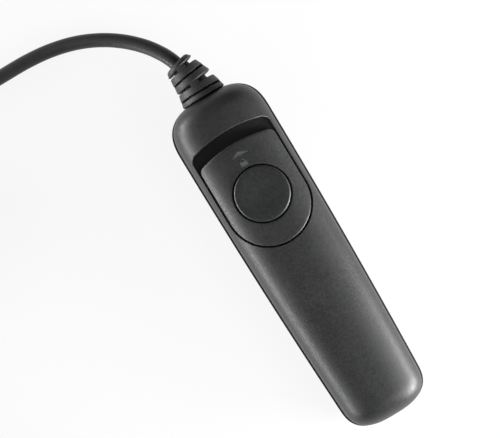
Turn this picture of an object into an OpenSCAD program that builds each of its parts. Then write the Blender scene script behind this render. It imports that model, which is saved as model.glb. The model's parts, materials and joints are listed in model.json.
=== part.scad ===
// Wired shutter release: a handset with a sliding hold button, its cord and its plug.
// Millimetres. The handset lies on its back: +Y points along it to the cord, +Z is up,
// and the origin is under its middle, on the surface that it rests on.

/* [Casing] */
// Length of the casing
case_len = 101; // [97:1:115]
// Width of the casing near its cord end
head_w = 28.2; // [27.6:0.1:32]
// Width of the casing near its free end
foot_w = 24.9; // [22:0.1:28]
// How far each long side swells past a straight taper
side_swell = 0.4; // [0.2:0.05:0.8]
// Height of the joint between the two covers
split_z = 8.6; // [8.4:0.1:9]
// Height of the upper cover above the joint, at the cord end
head_rise = 9.6; // [9.4:0.1:11]
// Height of the upper cover above the joint, at the free end
foot_rise = 9; // [8:0.1:10]
// Depth of the lower cover's curve below the joint, before its back is cut flat
back_drop = 9.2; // [9.1:0.1:9.8]
// Thickness of the casing's walls
wall = 1.8; // [1.5:0.1:2.2]
// Length over which the cord end rounds off, seen from above
head_round = 11.8; // [10:0.2:13]
// Length over which the free end rounds off, seen from above
foot_round = 8.6; // [7:0.2:11]
// Length over which each end rounds off, seen from the side
end_slope = 6.5; // [5.5:0.5:8]
// How far the lower cover's rim stands out past the upper cover
rim_out = 0.5; // [0.3:0.05:0.7]
// Height of the groove left open between the two covers
reveal = 0.4; // [0.2:0.05:0.6]

/* [Slide] */
// Half of the width of the slide's recess
recess_r = 11.9; // [11.6:0.1:12.1]
// Distance from the casing's cord end to the recess, along the middle
recess_inset = 11.5; // [10.8:0.1:12]
// Length of the recess along the middle
recess_len = 34.5; // [33:0.1:36]
// Radius of the recess's bowed end
recess_bow = 37; // [30:1:60]
// Radius of the two corners of the recess
recess_corner = 2.3; // [1:0.1:3.5]
// Height of the recess's floor
floor_z = 13; // [12.8:0.1:13.2]
// Gap around the slide, seen from above
slide_gap = 0.35; // [0.25:0.05:0.5]
// How far the slide moves to hold the button down
hold_travel = 3.5; // [2.8:0.1:3.6]
// Thickness of the slide's bottom web
web_t = 1.15; // [1:0.05:1.3]
// Thickness of the slide's skirt and of the wall around the button
skirt_t = 1.3; // [1:0.1:1.6]
// Depth of the mark on the slide
mark_depth = 0.25; // [0.15:0.05:0.35]

/* [Button] */
// Distance from the recess's bowed end to the middle of the button
button_inset = 19.5; // [19.1:0.1:19.9]
// Diameter of the hole for the button
button_bore = 16; // [15.6:0.1:16.4]
// Diameter of the button
button_d = 15.3; // [15:0.1:15.5]
// Height of the button above the casing around it
button_proud = 0.5; // [0.3:0.1:1]
// Depth of the dish in the button's top
dish = 0.35; // [0.1:0.05:0.5]
// How far the button goes down
press_travel = 1.6; // [1.5:0.1:1.8]
// Thickness of the button's top
cap_t = 1.6; // [1.3:0.1:1.8]
// Diameter of the button's stem
stem_d = 5; // [4.4:0.1:5.4]
// Length of the stem under the button's top
stem_len = 7.3; // [7:0.1:7.5]
// Thickness of the hooks on the button's legs
hook_t = 0.6; // [0.5:0.05:0.7]
// Thickness of the return spring's wire
spring_wire = 0.4; // [0.3:0.05:0.45]

/* [Contacts] */
// Thickness of the contact leaves
leaf_t = 0.2; // [0.15:0.01:0.25]
// Width of the contact leaves under the stem
leaf_w = 7; // [6:0.5:8]
// Width of the contact leaves where they are clamped
root_w = 11; // [10.6:0.1:11.4]
// Gap between the first and the second leaf
first_gap = 0.9; // [0.7:0.05:1]
// How far each leaf rises from its clamped end to its pad
leaf_rise = 2.2; // [2:0.1:2.4]
// Height of the bottom of the contact base
base_z = 3.4; // [3:0.1:3.8]
// Thickness of the clamp plate
clamp_t = 1; // [0.8:0.1:1.1]

/* [Screws] */
// Diameter of the screws' threads
screw_d = 1.7; // [1.5:0.1:2]
// Diameter of the cover screws' heads
head_d = 3.4; // [3:0.1:3.6]
// Height of the screws' heads
head_h = 1; // [0.8:0.1:1.1]
// Distance of the two upper cover screws from the middle line
screw_x = 8.2; // [8:0.1:8.4]
// Distance from the cord end to the two upper cover screws
screw_head_inset = 8.6; // [8.2:0.1:8.8]
// Distance from the free end to the lower cover screw
screw_foot_inset = 12; // [10:0.5:20]

/* [Cord] */
// Diameter of the cord
cord_d = 4; // [3.8:0.05:4.1]
// Length of the strain relief outside the casing
relief_len = 11.7; // [11:0.1:12.4]
// Diameter of the strain relief at the casing
relief_base_d = 12.8; // [12.2:0.1:12.9]
// Diameter of the strain relief at its tip
relief_tip_d = 8.2; // [7.8:0.1:9]
// Angle through which the strain relief is bent
relief_bend = 18; // [15:1:20]
// Width of the webs between the strain relief's rings
relief_web = 2.6; // [2:0.1:3]
// Length of the gaps that have their webs at the two sides
slot_t = 0.6; // [0.4:0.05:0.8]
// Length of the gaps that have their webs above and below
notch_t = 0.8; // [0.7:0.05:1]
// Depth of the gaps between the strain relief's rings
ring_depth = 1.9; // [1.5:0.1:2.2]
// Radius of the coil's middle turn
coil_mid_r = 21; // [20.5:0.1:21.5]
// Distance between the coil's turns in one layer
coil_pitch = 4.6; // [4.55:0.05:4.7]
// Distance between the coil's layers
coil_step = 4.45; // [4.42:0.01:4.6]

/* [Plug] */
// Length of the plug's grip
grip_len = 20; // [18:0.5:22]
// Width of the plug's grip
grip_w = 12.4; // [11.5:0.1:13.5]
// Height of the plug's grip
grip_h = 7.6; // [7:0.1:8.4]
// Length of the plug's nose
nose_len = 5; // [4:0.5:6]
// Width of the plug's nose
nose_w = 10.6; // [10:0.1:11.2]
// Height of the plug's nose
nose_h = 6.2; // [5.6:0.1:6.8]
// Length of the metal shell past the nose
shell_len = 8; // [6:0.5:10]
// Width of the metal shell
shell_w = 7.2; // [6.6:0.1:8]
// Height of the metal shell
shell_h = 3; // [2.8:0.1:3.4]
// Thickness of the metal shell
shell_t = 0.25; // [0.2:0.05:0.3]
// Length of the plug's ribbed strain relief
collar_len = 7; // [6:0.5:9]

/* [Hidden] */
$fn = 64;

// Small play between two pieces that are fitted together.
play = 0.05;
// Play where a piece must drop in freely.
loose = 0.1;
// Extra length of a cut past the face that it opens.
past = 1;
// How far a piece's own parts run into each other where they join.
sink = 0.2;
// Play between a thread and its hole.
thread_play = 0.02;

// Casing
head_y = case_len / 2;
foot_y = -case_len / 2;
// The widths at the two ends are taken this far from them.
width_inset = 11;
width_y = head_y - width_inset;
// Exponents of the curves: ends seen from above, ends seen from the side, cross-section.
plan_curve = 2.85;
side_curve = 2.5;
top_curve = 2.5;
back_curve = 2.6;
arc_steps = 20;
end_steps = 8;
mid_steps = 5;
// How strongly the rounded ends' stations crowd towards the tips.
end_crowd = 2.2;
// The cord end is thicker inside, where it holds the strain relief.
head_wall = 3;
// The tongue of the upper cover that stands in a rebate of the lower one.
tongue_depth = 1;
tongue_in = 1.2;
tongue_t = 1;
// Stiffening ribs on the floor of the lower cover, from the free end on.
rib_count = 3;
rib_inset = 20;
rib_pitch = 12;
rib_t = 1;
rib_top = 3;

// Slide and its recess
recess_high = head_y - recess_inset;
recess_low = recess_high - recess_len;
button_y = recess_high - button_inset;
// Gap above and below the casing's ledge that lets the button's hooks pass it.
lock_gap = 0.2;
floor_t = press_travel - lock_gap;
recess_wall = 1.4;
slide_z = floor_z + play;
web_top = slide_z + web_t;
slide_low = recess_low + slide_gap;
slide_high = recess_high - slide_gap - hold_travel;
slide_r = recess_r - slide_gap;
roof_t = 1.2;
roof_half_w = 7;
roof_z = top_z(roof_half_w, slide_low) - roof_t;
side_roof_z = top_z(slide_r - skirt_t, slide_low) - roof_t;
// The slide's legs: their size, and for each its place and the way that its hook points.
slide_leg = [1.4, 3];
slide_leg_at = [[7.5, button_y + 8.8], [9.4, button_y]];
slide_leg_way = [1, -1];
slide_hook = 0.7;
slide_hook_t = 0.8;
// The slide's mark: an arrow over a padlock.
mark_y = slide_high - 5;
arrow_w = 6.3;
arrow_h = 1.4;
arrow_low = 1;
lock_w = 2.2;
lock_h = 1.5;
lock_top = -0.7;
shackle_r = 0.85;
shackle_t = 0.35;

// Button
button_top = split_z + rise(button_y) + button_proud;
cap_z = button_top - cap_t;
skirt_gap = 0.25;
button_skirt_z = web_top + press_travel + skirt_gap;
button_skirt_t = 1.2;
button_edge = 0.4;
button_rim = 1;
button_leg = [1.2, 4];
button_leg_x = 4.5;
button_hook = 0.8;
tip_d = 3;
tip_len = 1;
stem_tip_z = cap_z - stem_len;
ledge_t = press_travel - hook_t - 2 * lock_gap;
// Room round the button's hooks and stem in the casing's floor.
hook_room = 0.3;
spring_low_r = 3.9;
spring_high_r = 3.1;
spring_turns = 3;

// Contacts
tip_gap = loose;
pad_z = stem_tip_z - tip_gap - leaf_t;
second_gap = press_travel - tip_gap - first_gap;
common_z = pad_z - leaf_rise;
focus_z = common_z - first_gap - leaf_t;
shutter_z = focus_z - second_gap - leaf_t;
clamp_z = common_z + leaf_t;
pad_margin = 2.5;
pad_end = 0.4;
slope_len = 5.9;
pad_low = button_y - tip_d / 2 - pad_margin;
pad_high = button_y + hold_travel + tip_d / 2 + pad_end;
root_low = pad_high + slope_len;
root_len = 7;
root_lap = 0.5;
bend_len = 0.2;
tab_len = 2.6;
tab_w = 2;
tab_x = [3.8, 0, -3.8];
clamp_screw_x = 3.4;
clamp_screw_y = root_low + root_len / 2;
clamp_head_d = 3;
leaf_hole_d = screw_d + 0.9;
base_margin = 1.5;
base_side = 1;
base_low = pad_low - base_margin;
peg_d = 2;
peg_h = 1.5;
peg_x = 4.2;
peg_inset = 2;
peg_y = base_low + peg_inset;
peg_ring = 1;
post_wall = 1.3;
// How far the clamp screws go into their posts, and how much deeper their holes are.
clamp_bite = 0.9;
hole_spare = 0.3;
// Wires and solder
wire_d = 0.9;
wire_ring = 1;
tab_mid_y = root_low + root_len + tab_len / 2;
solder_d = 1.7;
solder_top_d = 1;
solder_over = 0.3;

// Cover screws
screw_high = head_y - screw_head_inset;
screw_low = foot_y + screw_foot_inset;
boss_wall = 0.9;
boss_d = head_d + 2 * boss_wall;
head_room = 0.25;
screw_seat = 2.2;
joint_z = split_z + reveal;
screw_in = 3.4;
cross_w = 0.4;
cross_depth = 0.55;
cover_screw_at = [[screw_x, screw_high], [-screw_x, screw_high], [0, screw_low]];

// Strain relief
ring_count = 5;
base_ring_t = 1.1;
tip_ring_t = 1.7;
inner_ring_t = (relief_len - base_ring_t - tip_ring_t - 2 * slot_t - 2 * notch_t) / (ring_count - 2);
// How far the tip ring's outer edge slopes in.
tip_slope = 0.8;
// Angle by which the rings lean away from each other across an open gap.
ring_lean = 1.2;
// Angle by which the bore runs on past the tip.
bore_past = 1;
seat_depth = 0.3;
neck_d = 9.4;
flange_d = 11.4;
flange_t = 1.4;
inner_wall_y = head_y - head_wall;
jacket_out = 1;
inner_end_y = inner_wall_y - flange_t - jacket_out;
web_inset = 0.1;
web_lap = 0.3;
bend_r = relief_len * 180 / (PI * relief_bend);

// Cord, coil and tail. The turns of the coil are worked out, the rest is a free line.
coil_turns = 6.25;
coil_layers = 4;
coil_rings = 24;
// Turns over which the line climbs from one layer to the next.
climb_turns = 0.5;
layer_turns = coil_turns / coil_layers;
coil_band = layer_turns * coil_pitch;
coil_out_r = coil_mid_r + coil_band / 2;
coil_x = -93;
coil_y = head_y + 9.1;
coil_top_z = cord_d / 2 + (coil_layers - 1) * coil_step;
relief_tip = [
    bend_r * (cos(relief_bend) - 1),
    head_y + bend_r * sin(relief_bend),
    split_z
];
lead_way = [-sin(relief_bend), cos(relief_bend), 0];
lead_run = 1.2;
plug_x = -113;
plug_y = head_y - 48.5;
plug_z = grip_h / 2;
// Free points of the lead and of the tail, from the casing's cord end.
lead_free = [
    [-3.6, 15.6, 8.4], [-6.5, 19.8, 7.6], [-11.1, 24.4, 6.2], [-16.6, 28.2, 4.8],
    [-22.7, 31, 3.5], [-29.5, 32.8, 2.5], [-36.6, 33.6, 2.1], [-44, 33.7, 2],
    [-54, 33.7, 2], [-64, 33.7, 2], [-74, 33.7, 2], [-82, 33.7, 2]
];
tail_free = [
    [-117.4, -6, 14.2], [-116.9, -14, 11.4], [-116, -22, 8.2], [-114.8, -30, 5.6],
    [-113.6, -38, 4.2]
];
lead_points = concat(
    [relief_tip, relief_tip + lead_run * lead_way],
    [for (p = lead_free) p + [0, head_y, 0]],
    [
        [coil_x + 2 * cord_d, coil_y + coil_out_r, cord_d / 2],
        [coil_x + cord_d, coil_y + coil_out_r, cord_d / 2]
    ]
);
tail_points = concat(
    [
        [coil_x - coil_out_r, coil_y - cord_d, coil_top_z],
        [coil_x - coil_out_r, coil_y - 2 * cord_d, coil_top_z]
    ],
    [for (p = tail_free) p + [0, head_y, 0]],
    [[plug_x, plug_y + cord_d, plug_z], [plug_x, plug_y, plug_z]]
);

// Plug: its grip, nose and shell follow each other along -Y from the cord.
collar_rings = 3;
collar_d = 7;
collar_core_d = 5.8;
collar_taper = 0.15;
collar_rib_share = 0.65;
grip_y = plug_y - collar_len;
nose_y = grip_y - grip_len;
shell_y = nose_y - nose_len;
grip_taper = 5;
grip_narrow = 2;
grip_round = 1.2;
groove_len = 0.5;
groove_depth = 0.5;
nose_round = 1;
dimple_x = 2.2;
dimple_inset = 3.4;
dimple_d = 1.1;
dimple_depth = 0.4;
socket_depth = 5.5;
tongue_h = 1;
tongue_back = 1;
pin_back = 1.4;
pin_w = 0.6;
pin_t = 0.15;
pin_pitch = 1.6;
pin_count = 3;
core_len = 9;
core_y = nose_y + core_len - nose_len;
// Inside of the shell, less a little play.
inner_w = shell_w - 2 * shell_t - loose;
inner_h = shell_h - 2 * shell_t - loose;
mouth_y = shell_y - shell_len + socket_depth;
tongue_top = -inner_h / 2 + tongue_h;

// Half of the casing's width at a place along it, before the ends round off.
function side(y) =
    (head_w + foot_w) / 4 + (head_w - foot_w) / 4 * y / width_y
    + side_swell * (1 - pow(y / width_y, 2));

// Height of the upper cover above the joint at a place along it.
function rise(y) = foot_rise + (head_rise - foot_rise) * (y - foot_y) / case_len;

// Height of the upper cover's surface.
function top_z(x, y) =
    split_z + rise(y) * pow(1 - pow(abs(x) / (side(y) - rim_out), top_curve), 1 / top_curve);

// Share of the full size at a share t of the rounding's length from an end.
function nose(t, curve) = t >= 1 ? 1 : pow(1 - pow(1 - max(t, 0), curve), 1 / curve);

function signed_pow(v, p) = sign(v) * pow(abs(v), p);

// Places along a shell from low to high, closer together where its ends round off. The
// roundings are shorter by thin than those of the casing's outside.
function stations(low, high, thin) =
    let (steps = [for (k = [1:end_steps]) pow(k / end_steps, end_crowd)])
    let (first = low + foot_round - thin, last = high - head_round + thin)
    concat(
        [for (s = steps) low + (foot_round - thin) * s],
        [for (k = [1:mid_steps]) first + (last - first) * k / (mid_steps + 1)],
        [for (k = [end_steps - 1:-1:0]) high - (head_round - thin) * steps[k]]
    );

// Half width of a shell's outline, a set amount inside the casing's side.
function outline_w(y, inset, low, high, thin) =
    (side(y) - inset) * nose((y - low) / (foot_round - thin), plan_curve)
    * nose((high - y) / (head_round - thin), plan_curve);

// Outline of the casing, a set amount inside its edge all round.
function outline(inset) =
    let (low = foot_y + inset, high = head_y - inset)
    let (ys = stations(low, high, inset), last = len(ys) - 1)
    concat(
        [for (y = ys) [outline_w(y, inset, low, high, inset), y]],
        [for (k = [last:-1:0]) [-outline_w(ys[k], inset, low, high, inset), ys[k]]]
    );

// Half of a lofted shell on the plane z = 0: bottom edge at -down, curved top above.
module half_shell(inset, low, high, thin, top, curve, down) {
    slope = end_slope - thin;
    ys = stations(low, high, thin);
    last = len(ys) - 1;
    row = arc_steps + 1;
    points = [
        for (y = ys)
            let (w = outline_w(y, inset, low, high, thin))
            let (ends = nose((y - low) / slope, side_curve) * nose((high - y) / slope, side_curve))
            let (h = (top ? rise(y) : back_drop) - thin)
            for (i = [0:arc_steps])
                let (a = 180 * i / arc_steps)
                let (z = i == 0 || i == arc_steps ? -down : h * ends * pow(sin(a), 2 / curve))
                [w * signed_pow(cos(a), 2 / curve), y, z]
    ];
    sides = [
        for (s = [0:last - 1], i = [0:arc_steps - 1])
            let (a = s * row + i, b = a + row)
            each [[a, a + 1, b + 1], [a, b + 1, b]]
    ];
    under = [
        for (s = [0:last - 1])
            let (a = s * row, b = a + row)
            each [[a, b, b + arc_steps], [a, b + arc_steps, a + arc_steps]]
    ];
    ends = [
        [for (i = [arc_steps:-1:0]) i],
        [for (i = [0:arc_steps]) last * row + i]
    ];
    polyhedron(points, concat(sides, under, ends), convexity = 4);
}

module upper_solid() {
    translate([0, 0, split_z])
        half_shell(rim_out, foot_y, head_y, 0, true, top_curve, 0);
}

module upper_cavity() {
    translate([0, 0, split_z])
        half_shell(rim_out + wall, foot_y + wall, inner_wall_y, wall, true, top_curve, past);
}

module lower_solid() {
    translate([0, 0, split_z])
        mirror([0, 0, 1])
            half_shell(0, foot_y, head_y, 0, false, back_curve, 0);
}

module lower_cavity() {
    translate([0, 0, split_z])
        mirror([0, 0, 1])
            half_shell(wall, foot_y + wall, inner_wall_y, wall, false, back_curve, past);
}

module along_y(d, low, high) {
    translate([0, low, split_z])
        rotate([-90, 0, 0])
            cylinder(d = d, h = high - low);
}

module column(d, low, high) {
    translate([0, 0, low])
        cylinder(d = d, h = high - low);
}

module block(x, y, low, high) {
    translate([x[0], y[0], low])
        cube([x[1] - x[0], y[1] - y[0], high - low]);
}

module mirrored_x() {
    children();
    mirror([1, 0, 0])
        children();
}

// Plan of the recess and of the slide in it: round at the low end, bowed at the high end.
module plate(r, low, high, corner) {
    offset(r = corner)
        offset(delta = -corner)
            intersection() {
                union() {
                    translate([0, low + r])
                        circle(r);
                    translate([-r, low + r])
                        square([2 * r, high - low - r]);
                }
                translate([0, high - recess_bow])
                    circle(recess_bow, $fn = 180);
            }
}

module prism(low, high) {
    translate([0, 0, low])
        linear_extrude(high - low)
            children();
}

module at_cover_screws() {
    for (at = cover_screw_at)
        translate([at[0], at[1], 0])
            children();
}

module at_clamp_screws() {
    mirrored_x()
        translate([clamp_screw_x, clamp_screw_y, 0])
            children();
}

// Seat of the strain relief in both covers.
module relief_seat() {
    along_y(flange_d + 2 * loose, inner_wall_y - flange_t - past, inner_wall_y);
    along_y(neck_d + 2 * play, inner_wall_y - past, head_y);
    along_y(relief_base_d + 2 * loose, head_y - seat_depth, head_y + past);
}

module tongue() {
    prism(split_z - tongue_depth, joint_z)
        difference() {
            polygon(outline(tongue_in));
            polygon(outline(tongue_in + tongue_t));
        }
}

module rebate() {
    prism(split_z - tongue_depth, split_z + past)
        polygon(outline(tongue_in - loose));
}

// Openings in the recess's floor for the slide's legs and the button's legs and stem.
module floor_openings() {
    leg_outer = button_leg_x + button_leg[0];
    low = button_y - button_leg[1] / 2 - loose;
    ledge_low = button_y + button_leg[1] / 2 + hook_room;
    high = button_y + button_leg[1] / 2 + hold_travel + loose;
    ledge_z = floor_z - floor_t + ledge_t;
    stem_r = stem_d / 2 + hook_room;
    through = [floor_z - floor_t - past, floor_z + past];
    block(
        [-stem_r, stem_r], [button_y - stem_r, button_y + stem_r + hold_travel],
        through[0], through[1]
    );
    block([-leg_outer - 2 * loose, leg_outer + 2 * loose], [low, high], through[0], through[1]);
    hook_x = leg_outer + button_hook + 2 * loose;
    block([-hook_x, hook_x], [low, ledge_low], through[0], through[1]);
    block([-hook_x, hook_x], [low, high], ledge_z, through[1]);
    mirrored_x()
        for (at = slide_leg_at)
            block(
                [at[0] - slide_leg[0] / 2 - loose, at[0] + slide_leg[0] / 2 + loose],
                [at[1] - slide_leg[1] / 2 - loose, at[1] + slide_leg[1] / 2 + hold_travel + loose],
                through[0], through[1]
            );
}

module upper_cover() {
    color([0.21, 0.22, 0.225])
        difference() {
            union() {
                difference() {
                    upper_solid();
                    difference() {
                        upper_cavity();
                        prism(floor_z - floor_t, button_top)
                            plate(
                                recess_r + recess_wall, recess_low - recess_wall,
                                recess_high + recess_wall, recess_corner + recess_wall
                            );
                        at_cover_screws()
                            column(boss_d, joint_z, button_top);
                    }
                    block([-head_w, head_w], [foot_y - past, head_y + past], split_z - past, joint_z);
                }
                tongue();
            }
            prism(floor_z, button_top + past)
                plate(recess_r, recess_low, recess_high, recess_corner);
            floor_openings();
            at_cover_screws()
                column(screw_d + 2 * thread_play, split_z, joint_z + screw_in + loose);
            relief_seat();
        }
}

module lower_cover() {
    color([0.19, 0.2, 0.205])
        difference() {
            union() {
                lower_solid();
                at_cover_screws()
                    column(boss_d, split_z - past, joint_z);
            }
            difference() {
                lower_cavity();
                at_cover_screws()
                    column(boss_d, 0, joint_z + past);
                at_clamp_screws()
                    column(screw_d + 2 * post_wall, 0, base_z);
                mirrored_x()
                    translate([peg_x, peg_y, 0])
                        column(peg_d + 2 * peg_ring, 0, base_z);
                mirrored_x()
                    translate([peg_x, peg_y, 0])
                        column(peg_d, 0, base_z + peg_h);
                for (k = [0:rib_count - 1]) {
                    y = foot_y + rib_inset + rib_pitch * k;
                    block([-head_w, head_w], [y - rib_t / 2, y + rib_t / 2], 0, rib_top);
                }
            }
            difference() {
                rebate();
                at_cover_screws()
                    column(boss_d, 0, joint_z);
            }
            block(
                [-head_w, head_w], [foot_y - past, head_y + past],
                split_z - back_drop - past, 0
            );
            at_cover_screws()
                column(screw_d + 2 * loose, 0, joint_z + past);
            at_cover_screws()
                column(head_d + 2 * head_room, -past, screw_seat);
            at_clamp_screws()
                column(
                    screw_d + 2 * thread_play, base_z - clamp_bite - hole_spare, base_z + past
                );
            relief_seat();
        }
}

// A pan head screw with a cross recess, its head above z = 0 and its thread below.
module pan_screw(head, thread) {
    difference() {
        union() {
            cylinder(d = head, h = head_h);
            column(screw_d, -thread, 0);
        }
        for (a = [0, 90])
            rotate([0, 0, a])
                block(
                    [-head / 3, head / 3], [-cross_w / 2, cross_w / 2],
                    head_h - cross_depth, head_h + past
                );
    }
}

module cover_screws() {
    color([0.55, 0.56, 0.57])
        at_cover_screws()
            translate([0, 0, screw_seat])
                mirror([0, 0, 1])
                    pan_screw(head_d, joint_z + screw_in - screw_seat);
}

module slide_mark() {
    polygon([
        [-arrow_w / 2, arrow_low], [arrow_w / 2, arrow_low], [0, arrow_low + arrow_h]
    ]);
    translate([-lock_w / 2, lock_top - lock_h])
        square([lock_w, lock_h]);
    translate([0, lock_top])
        difference() {
            circle(shackle_r);
            circle(shackle_r - shackle_t);
            translate([-lock_w / 2, -lock_h])
                square([lock_w, lock_h]);
        }
}

// A leg of the slide; its hook points outwards or inwards.
module slide_leg_with_hook(k) {
    low = floor_z - floor_t - loose - slide_hook_t;
    tip = slide_leg_way[k] * (slide_leg[0] / 2 + slide_hook);
    translate([slide_leg_at[k][0], slide_leg_at[k][1], 0]) {
        block(
            [-slide_leg[0] / 2, slide_leg[0] / 2], [-slide_leg[1] / 2, slide_leg[1] / 2],
            low, side_roof_z + sink
        );
        block(
            [min(0, tip), max(0, tip)], [-slide_leg[1] / 2, slide_leg[1] / 2],
            low, low + slide_hook_t
        );
    }
}

module slide_inside() {
    plate(
        slide_r - skirt_t, slide_low + skirt_t, slide_high - skirt_t,
        recess_corner - slide_gap
    );
}

module hold_slide() {
    color([0.22, 0.23, 0.235])
        union() {
            difference() {
                intersection() {
                    upper_solid();
                    prism(slide_z, button_top)
                        plate(slide_r, slide_low, slide_high, recess_corner - slide_gap);
                }
                difference() {
                    union() {
                        prism(slide_z - past, side_roof_z)
                            slide_inside();
                        prism(slide_z - past, roof_z)
                            intersection() {
                                slide_inside();
                                translate([-roof_half_w, slide_low])
                                    square([2 * roof_half_w, slide_high - slide_low]);
                            }
                    }
                    translate([0, button_y, 0])
                        column(button_bore + 2 * skirt_t, slide_z - past, roof_z + past);
                }
                translate([0, button_y, 0]) {
                    column(button_bore, web_top, button_top + past);
                    column(stem_d + 2 * play, slide_z - past, button_top);
                    mirrored_x()
                        block(
                            [button_leg_x - play, button_leg_x + button_leg[0] + play],
                            [-button_leg[1] / 2 - play, button_leg[1] / 2 + play],
                            slide_z - past, button_top
                        );
                }
                prism(split_z + rise(mark_y) - mark_depth, button_top)
                    translate([0, mark_y])
                        slide_mark();
            }
            mirrored_x()
                for (k = [0:len(slide_leg_at) - 1])
                    slide_leg_with_hook(k);
        }
}

// Depth of the button's dished top at a radius.
function dish_z(r) = -dish * (1 - pow(r / (button_d / 2 - button_rim), 2));

module release_button() {
    outer = button_d / 2;
    rim = outer - button_rim;
    inner = outer - button_skirt_t;
    color([0.24, 0.25, 0.255])
        translate([0, button_y, 0]) {
            rotate_extrude()
                polygon(
                    concat(
                        [for (k = [0:6]) [rim * k / 6, button_top + dish_z(rim * k / 6)]],
                        [
                            [outer - button_edge, button_top],
                            [outer, button_top - button_edge],
                            [outer, button_skirt_z],
                            [inner, button_skirt_z],
                            [inner, cap_z],
                            [stem_d / 2, cap_z],
                            [stem_d / 2, floor_z - floor_t],
                            [tip_d / 2, stem_tip_z + tip_len],
                            [tip_d / 2, stem_tip_z],
                            [0, stem_tip_z]
                        ]
                    )
                );
            mirrored_x()
                block(
                    [button_leg_x, button_leg_x + button_leg[0]],
                    [-button_leg[1] / 2, button_leg[1] / 2],
                    floor_z - hook_t, cap_z + sink
                );
            mirrored_x()
                block(
                    [button_leg_x, button_leg_x + button_leg[0] + button_hook],
                    [-button_leg[1] / 2, button_leg[1] / 2],
                    floor_z - hook_t, floor_z
                );
        }
}

function unit(v) = v / norm(v);

// Direction of a line at one of its points.
function way(path, i) =
    let (last = len(path) - 1)
    i == 0 ? unit(path[1] - path[0])
    : i == last ? unit(path[last] - path[last - 1])
    : unit(unit(path[i + 1] - path[i]) + unit(path[i] - path[i - 1]));

// A tube of n sides along a line.
module tube(path, d, n) {
    last = len(path) - 1;
    points = [
        for (i = [0:last])
            let (t = way(path, i), s = unit(cross(t, [0, 0, 1])), u = cross(s, t))
            for (k = [0:n - 1])
                path[i] + d / 2 * (cos(360 * k / n) * s + sin(360 * k / n) * u)
    ];
    sides = [
        for (i = [0:last - 1], k = [0:n - 1])
            let (a = i * n + k, b = i * n + (k + 1) % n)
            each [[a, b, b + n], [a, b + n, a + n]]
    ];
    ends = [[for (k = [n - 1:-1:0]) k], [for (k = [0:n - 1]) last * n + k]];
    polyhedron(points, concat(sides, ends), convexity = 10);
}

module return_spring() {
    low = web_top + spring_wire / 2;
    high = cap_z - spring_wire / 2;
    steps = 14;
    color([0.75, 0.76, 0.78])
        translate([0, button_y, 0])
            tube(
                [
                    for (k = [0:spring_turns * steps])
                        let (t = k / (spring_turns * steps))
                        let (r = spring_low_r + (spring_high_r - spring_low_r) * t - spring_wire / 2)
                        [r * cos(360 * k / steps), r * sin(360 * k / steps), low + (high - low) * t]
                ],
                spring_wire, 6
            );
}

module contact_base() {
    color([0.12, 0.12, 0.13])
        difference() {
            block(
                [-root_w / 2 - base_side, root_w / 2 + base_side],
                [base_low, root_low + root_len],
                base_z, shutter_z
            );
            at_clamp_screws()
                column(screw_d + 2 * thread_play, base_z - past, shutter_z + past);
            mirrored_x()
                translate([peg_x, peg_y, 0])
                    column(peg_d + loose, base_z - past, base_z + peg_h + loose);
        }
}

// A contact leaf: clamped root, slope and level pad, with a solder tab at one side.
module leaf(z, x) {
    difference() {
        union() {
            block([-root_w / 2, root_w / 2], [root_low, root_low + root_len], z, z + leaf_t);
            block(
                [x - tab_w / 2, x + tab_w / 2], [root_low, root_low + root_len + tab_len],
                z, z + leaf_t
            );
            translate([-leaf_w / 2, 0, z])
                rotate([90, 0, 90])
                    linear_extrude(leaf_w)
                        polygon([
                            [root_low + root_lap, 0], [root_low + root_lap, leaf_t],
                            [root_low - bend_len, leaf_t], [pad_high, leaf_rise + leaf_t],
                            [pad_low, leaf_rise + leaf_t], [pad_low, leaf_rise],
                            [pad_high, leaf_rise], [root_low - bend_len, 0]
                        ]);
        }
        at_clamp_screws()
            column(leaf_hole_d, z - past, z + past);
    }
}

module spacer(low, high) {
    difference() {
        block([-root_w / 2, root_w / 2], [root_low, root_low + root_len], low, high);
        at_clamp_screws()
            column(screw_d + 2 * loose, low - past, high + past);
    }
}

module shutter_contact() {
    color([0.72, 0.55, 0.28])
        leaf(shutter_z, tab_x[0]);
}

module focus_contact() {
    color([0.76, 0.59, 0.31])
        leaf(focus_z, tab_x[1]);
}

module common_contact() {
    color([0.8, 0.63, 0.35])
        leaf(common_z, tab_x[2]);
}

module lower_spacer() {
    color([0.55, 0.38, 0.2])
        spacer(shutter_z + leaf_t, focus_z);
}

module upper_spacer() {
    color([0.55, 0.38, 0.2])
        spacer(focus_z + leaf_t, common_z);
}

module clamp_plate() {
    color([0.15, 0.15, 0.16])
        spacer(clamp_z, clamp_z + clamp_t);
}

module clamp_screws() {
    color([0.6, 0.61, 0.62])
        at_clamp_screws()
            translate([0, 0, clamp_z + clamp_t])
                pan_screw(clamp_head_d, clamp_z + clamp_t - base_z + clamp_bite);
}

// A wire of the cord, from the end of the jacket to the solder tab of a contact. The
// points between its two ends are chosen by hand.
module core_wire(angle, x, z) {
    start = [wire_ring * sin(angle), inner_end_y, split_z + wire_ring * cos(angle)];
    rest_z = z + leaf_t + wire_d / 2;
    tube(
        [
            start, start - [0, 0.9, 0],
            [(start[0] + x) / 2, (start[1] + tab_mid_y) / 2 + 0.6, (start[2] + rest_z) / 2 + 0.3],
            [x, tab_mid_y + 1.6, rest_z + 0.15], [x, tab_mid_y + 0.7, rest_z],
            [x, tab_mid_y, rest_z]
        ],
        wire_d, 8
    );
}

module shutter_wire() {
    color([0.75, 0.12, 0.1])
        core_wire(120, tab_x[0], shutter_z);
}

module focus_wire() {
    color([0.9, 0.9, 0.88])
        core_wire(0, tab_x[1], focus_z);
}

module common_wire() {
    color([0.08, 0.08, 0.09])
        core_wire(240, tab_x[2], common_z);
}

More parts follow.
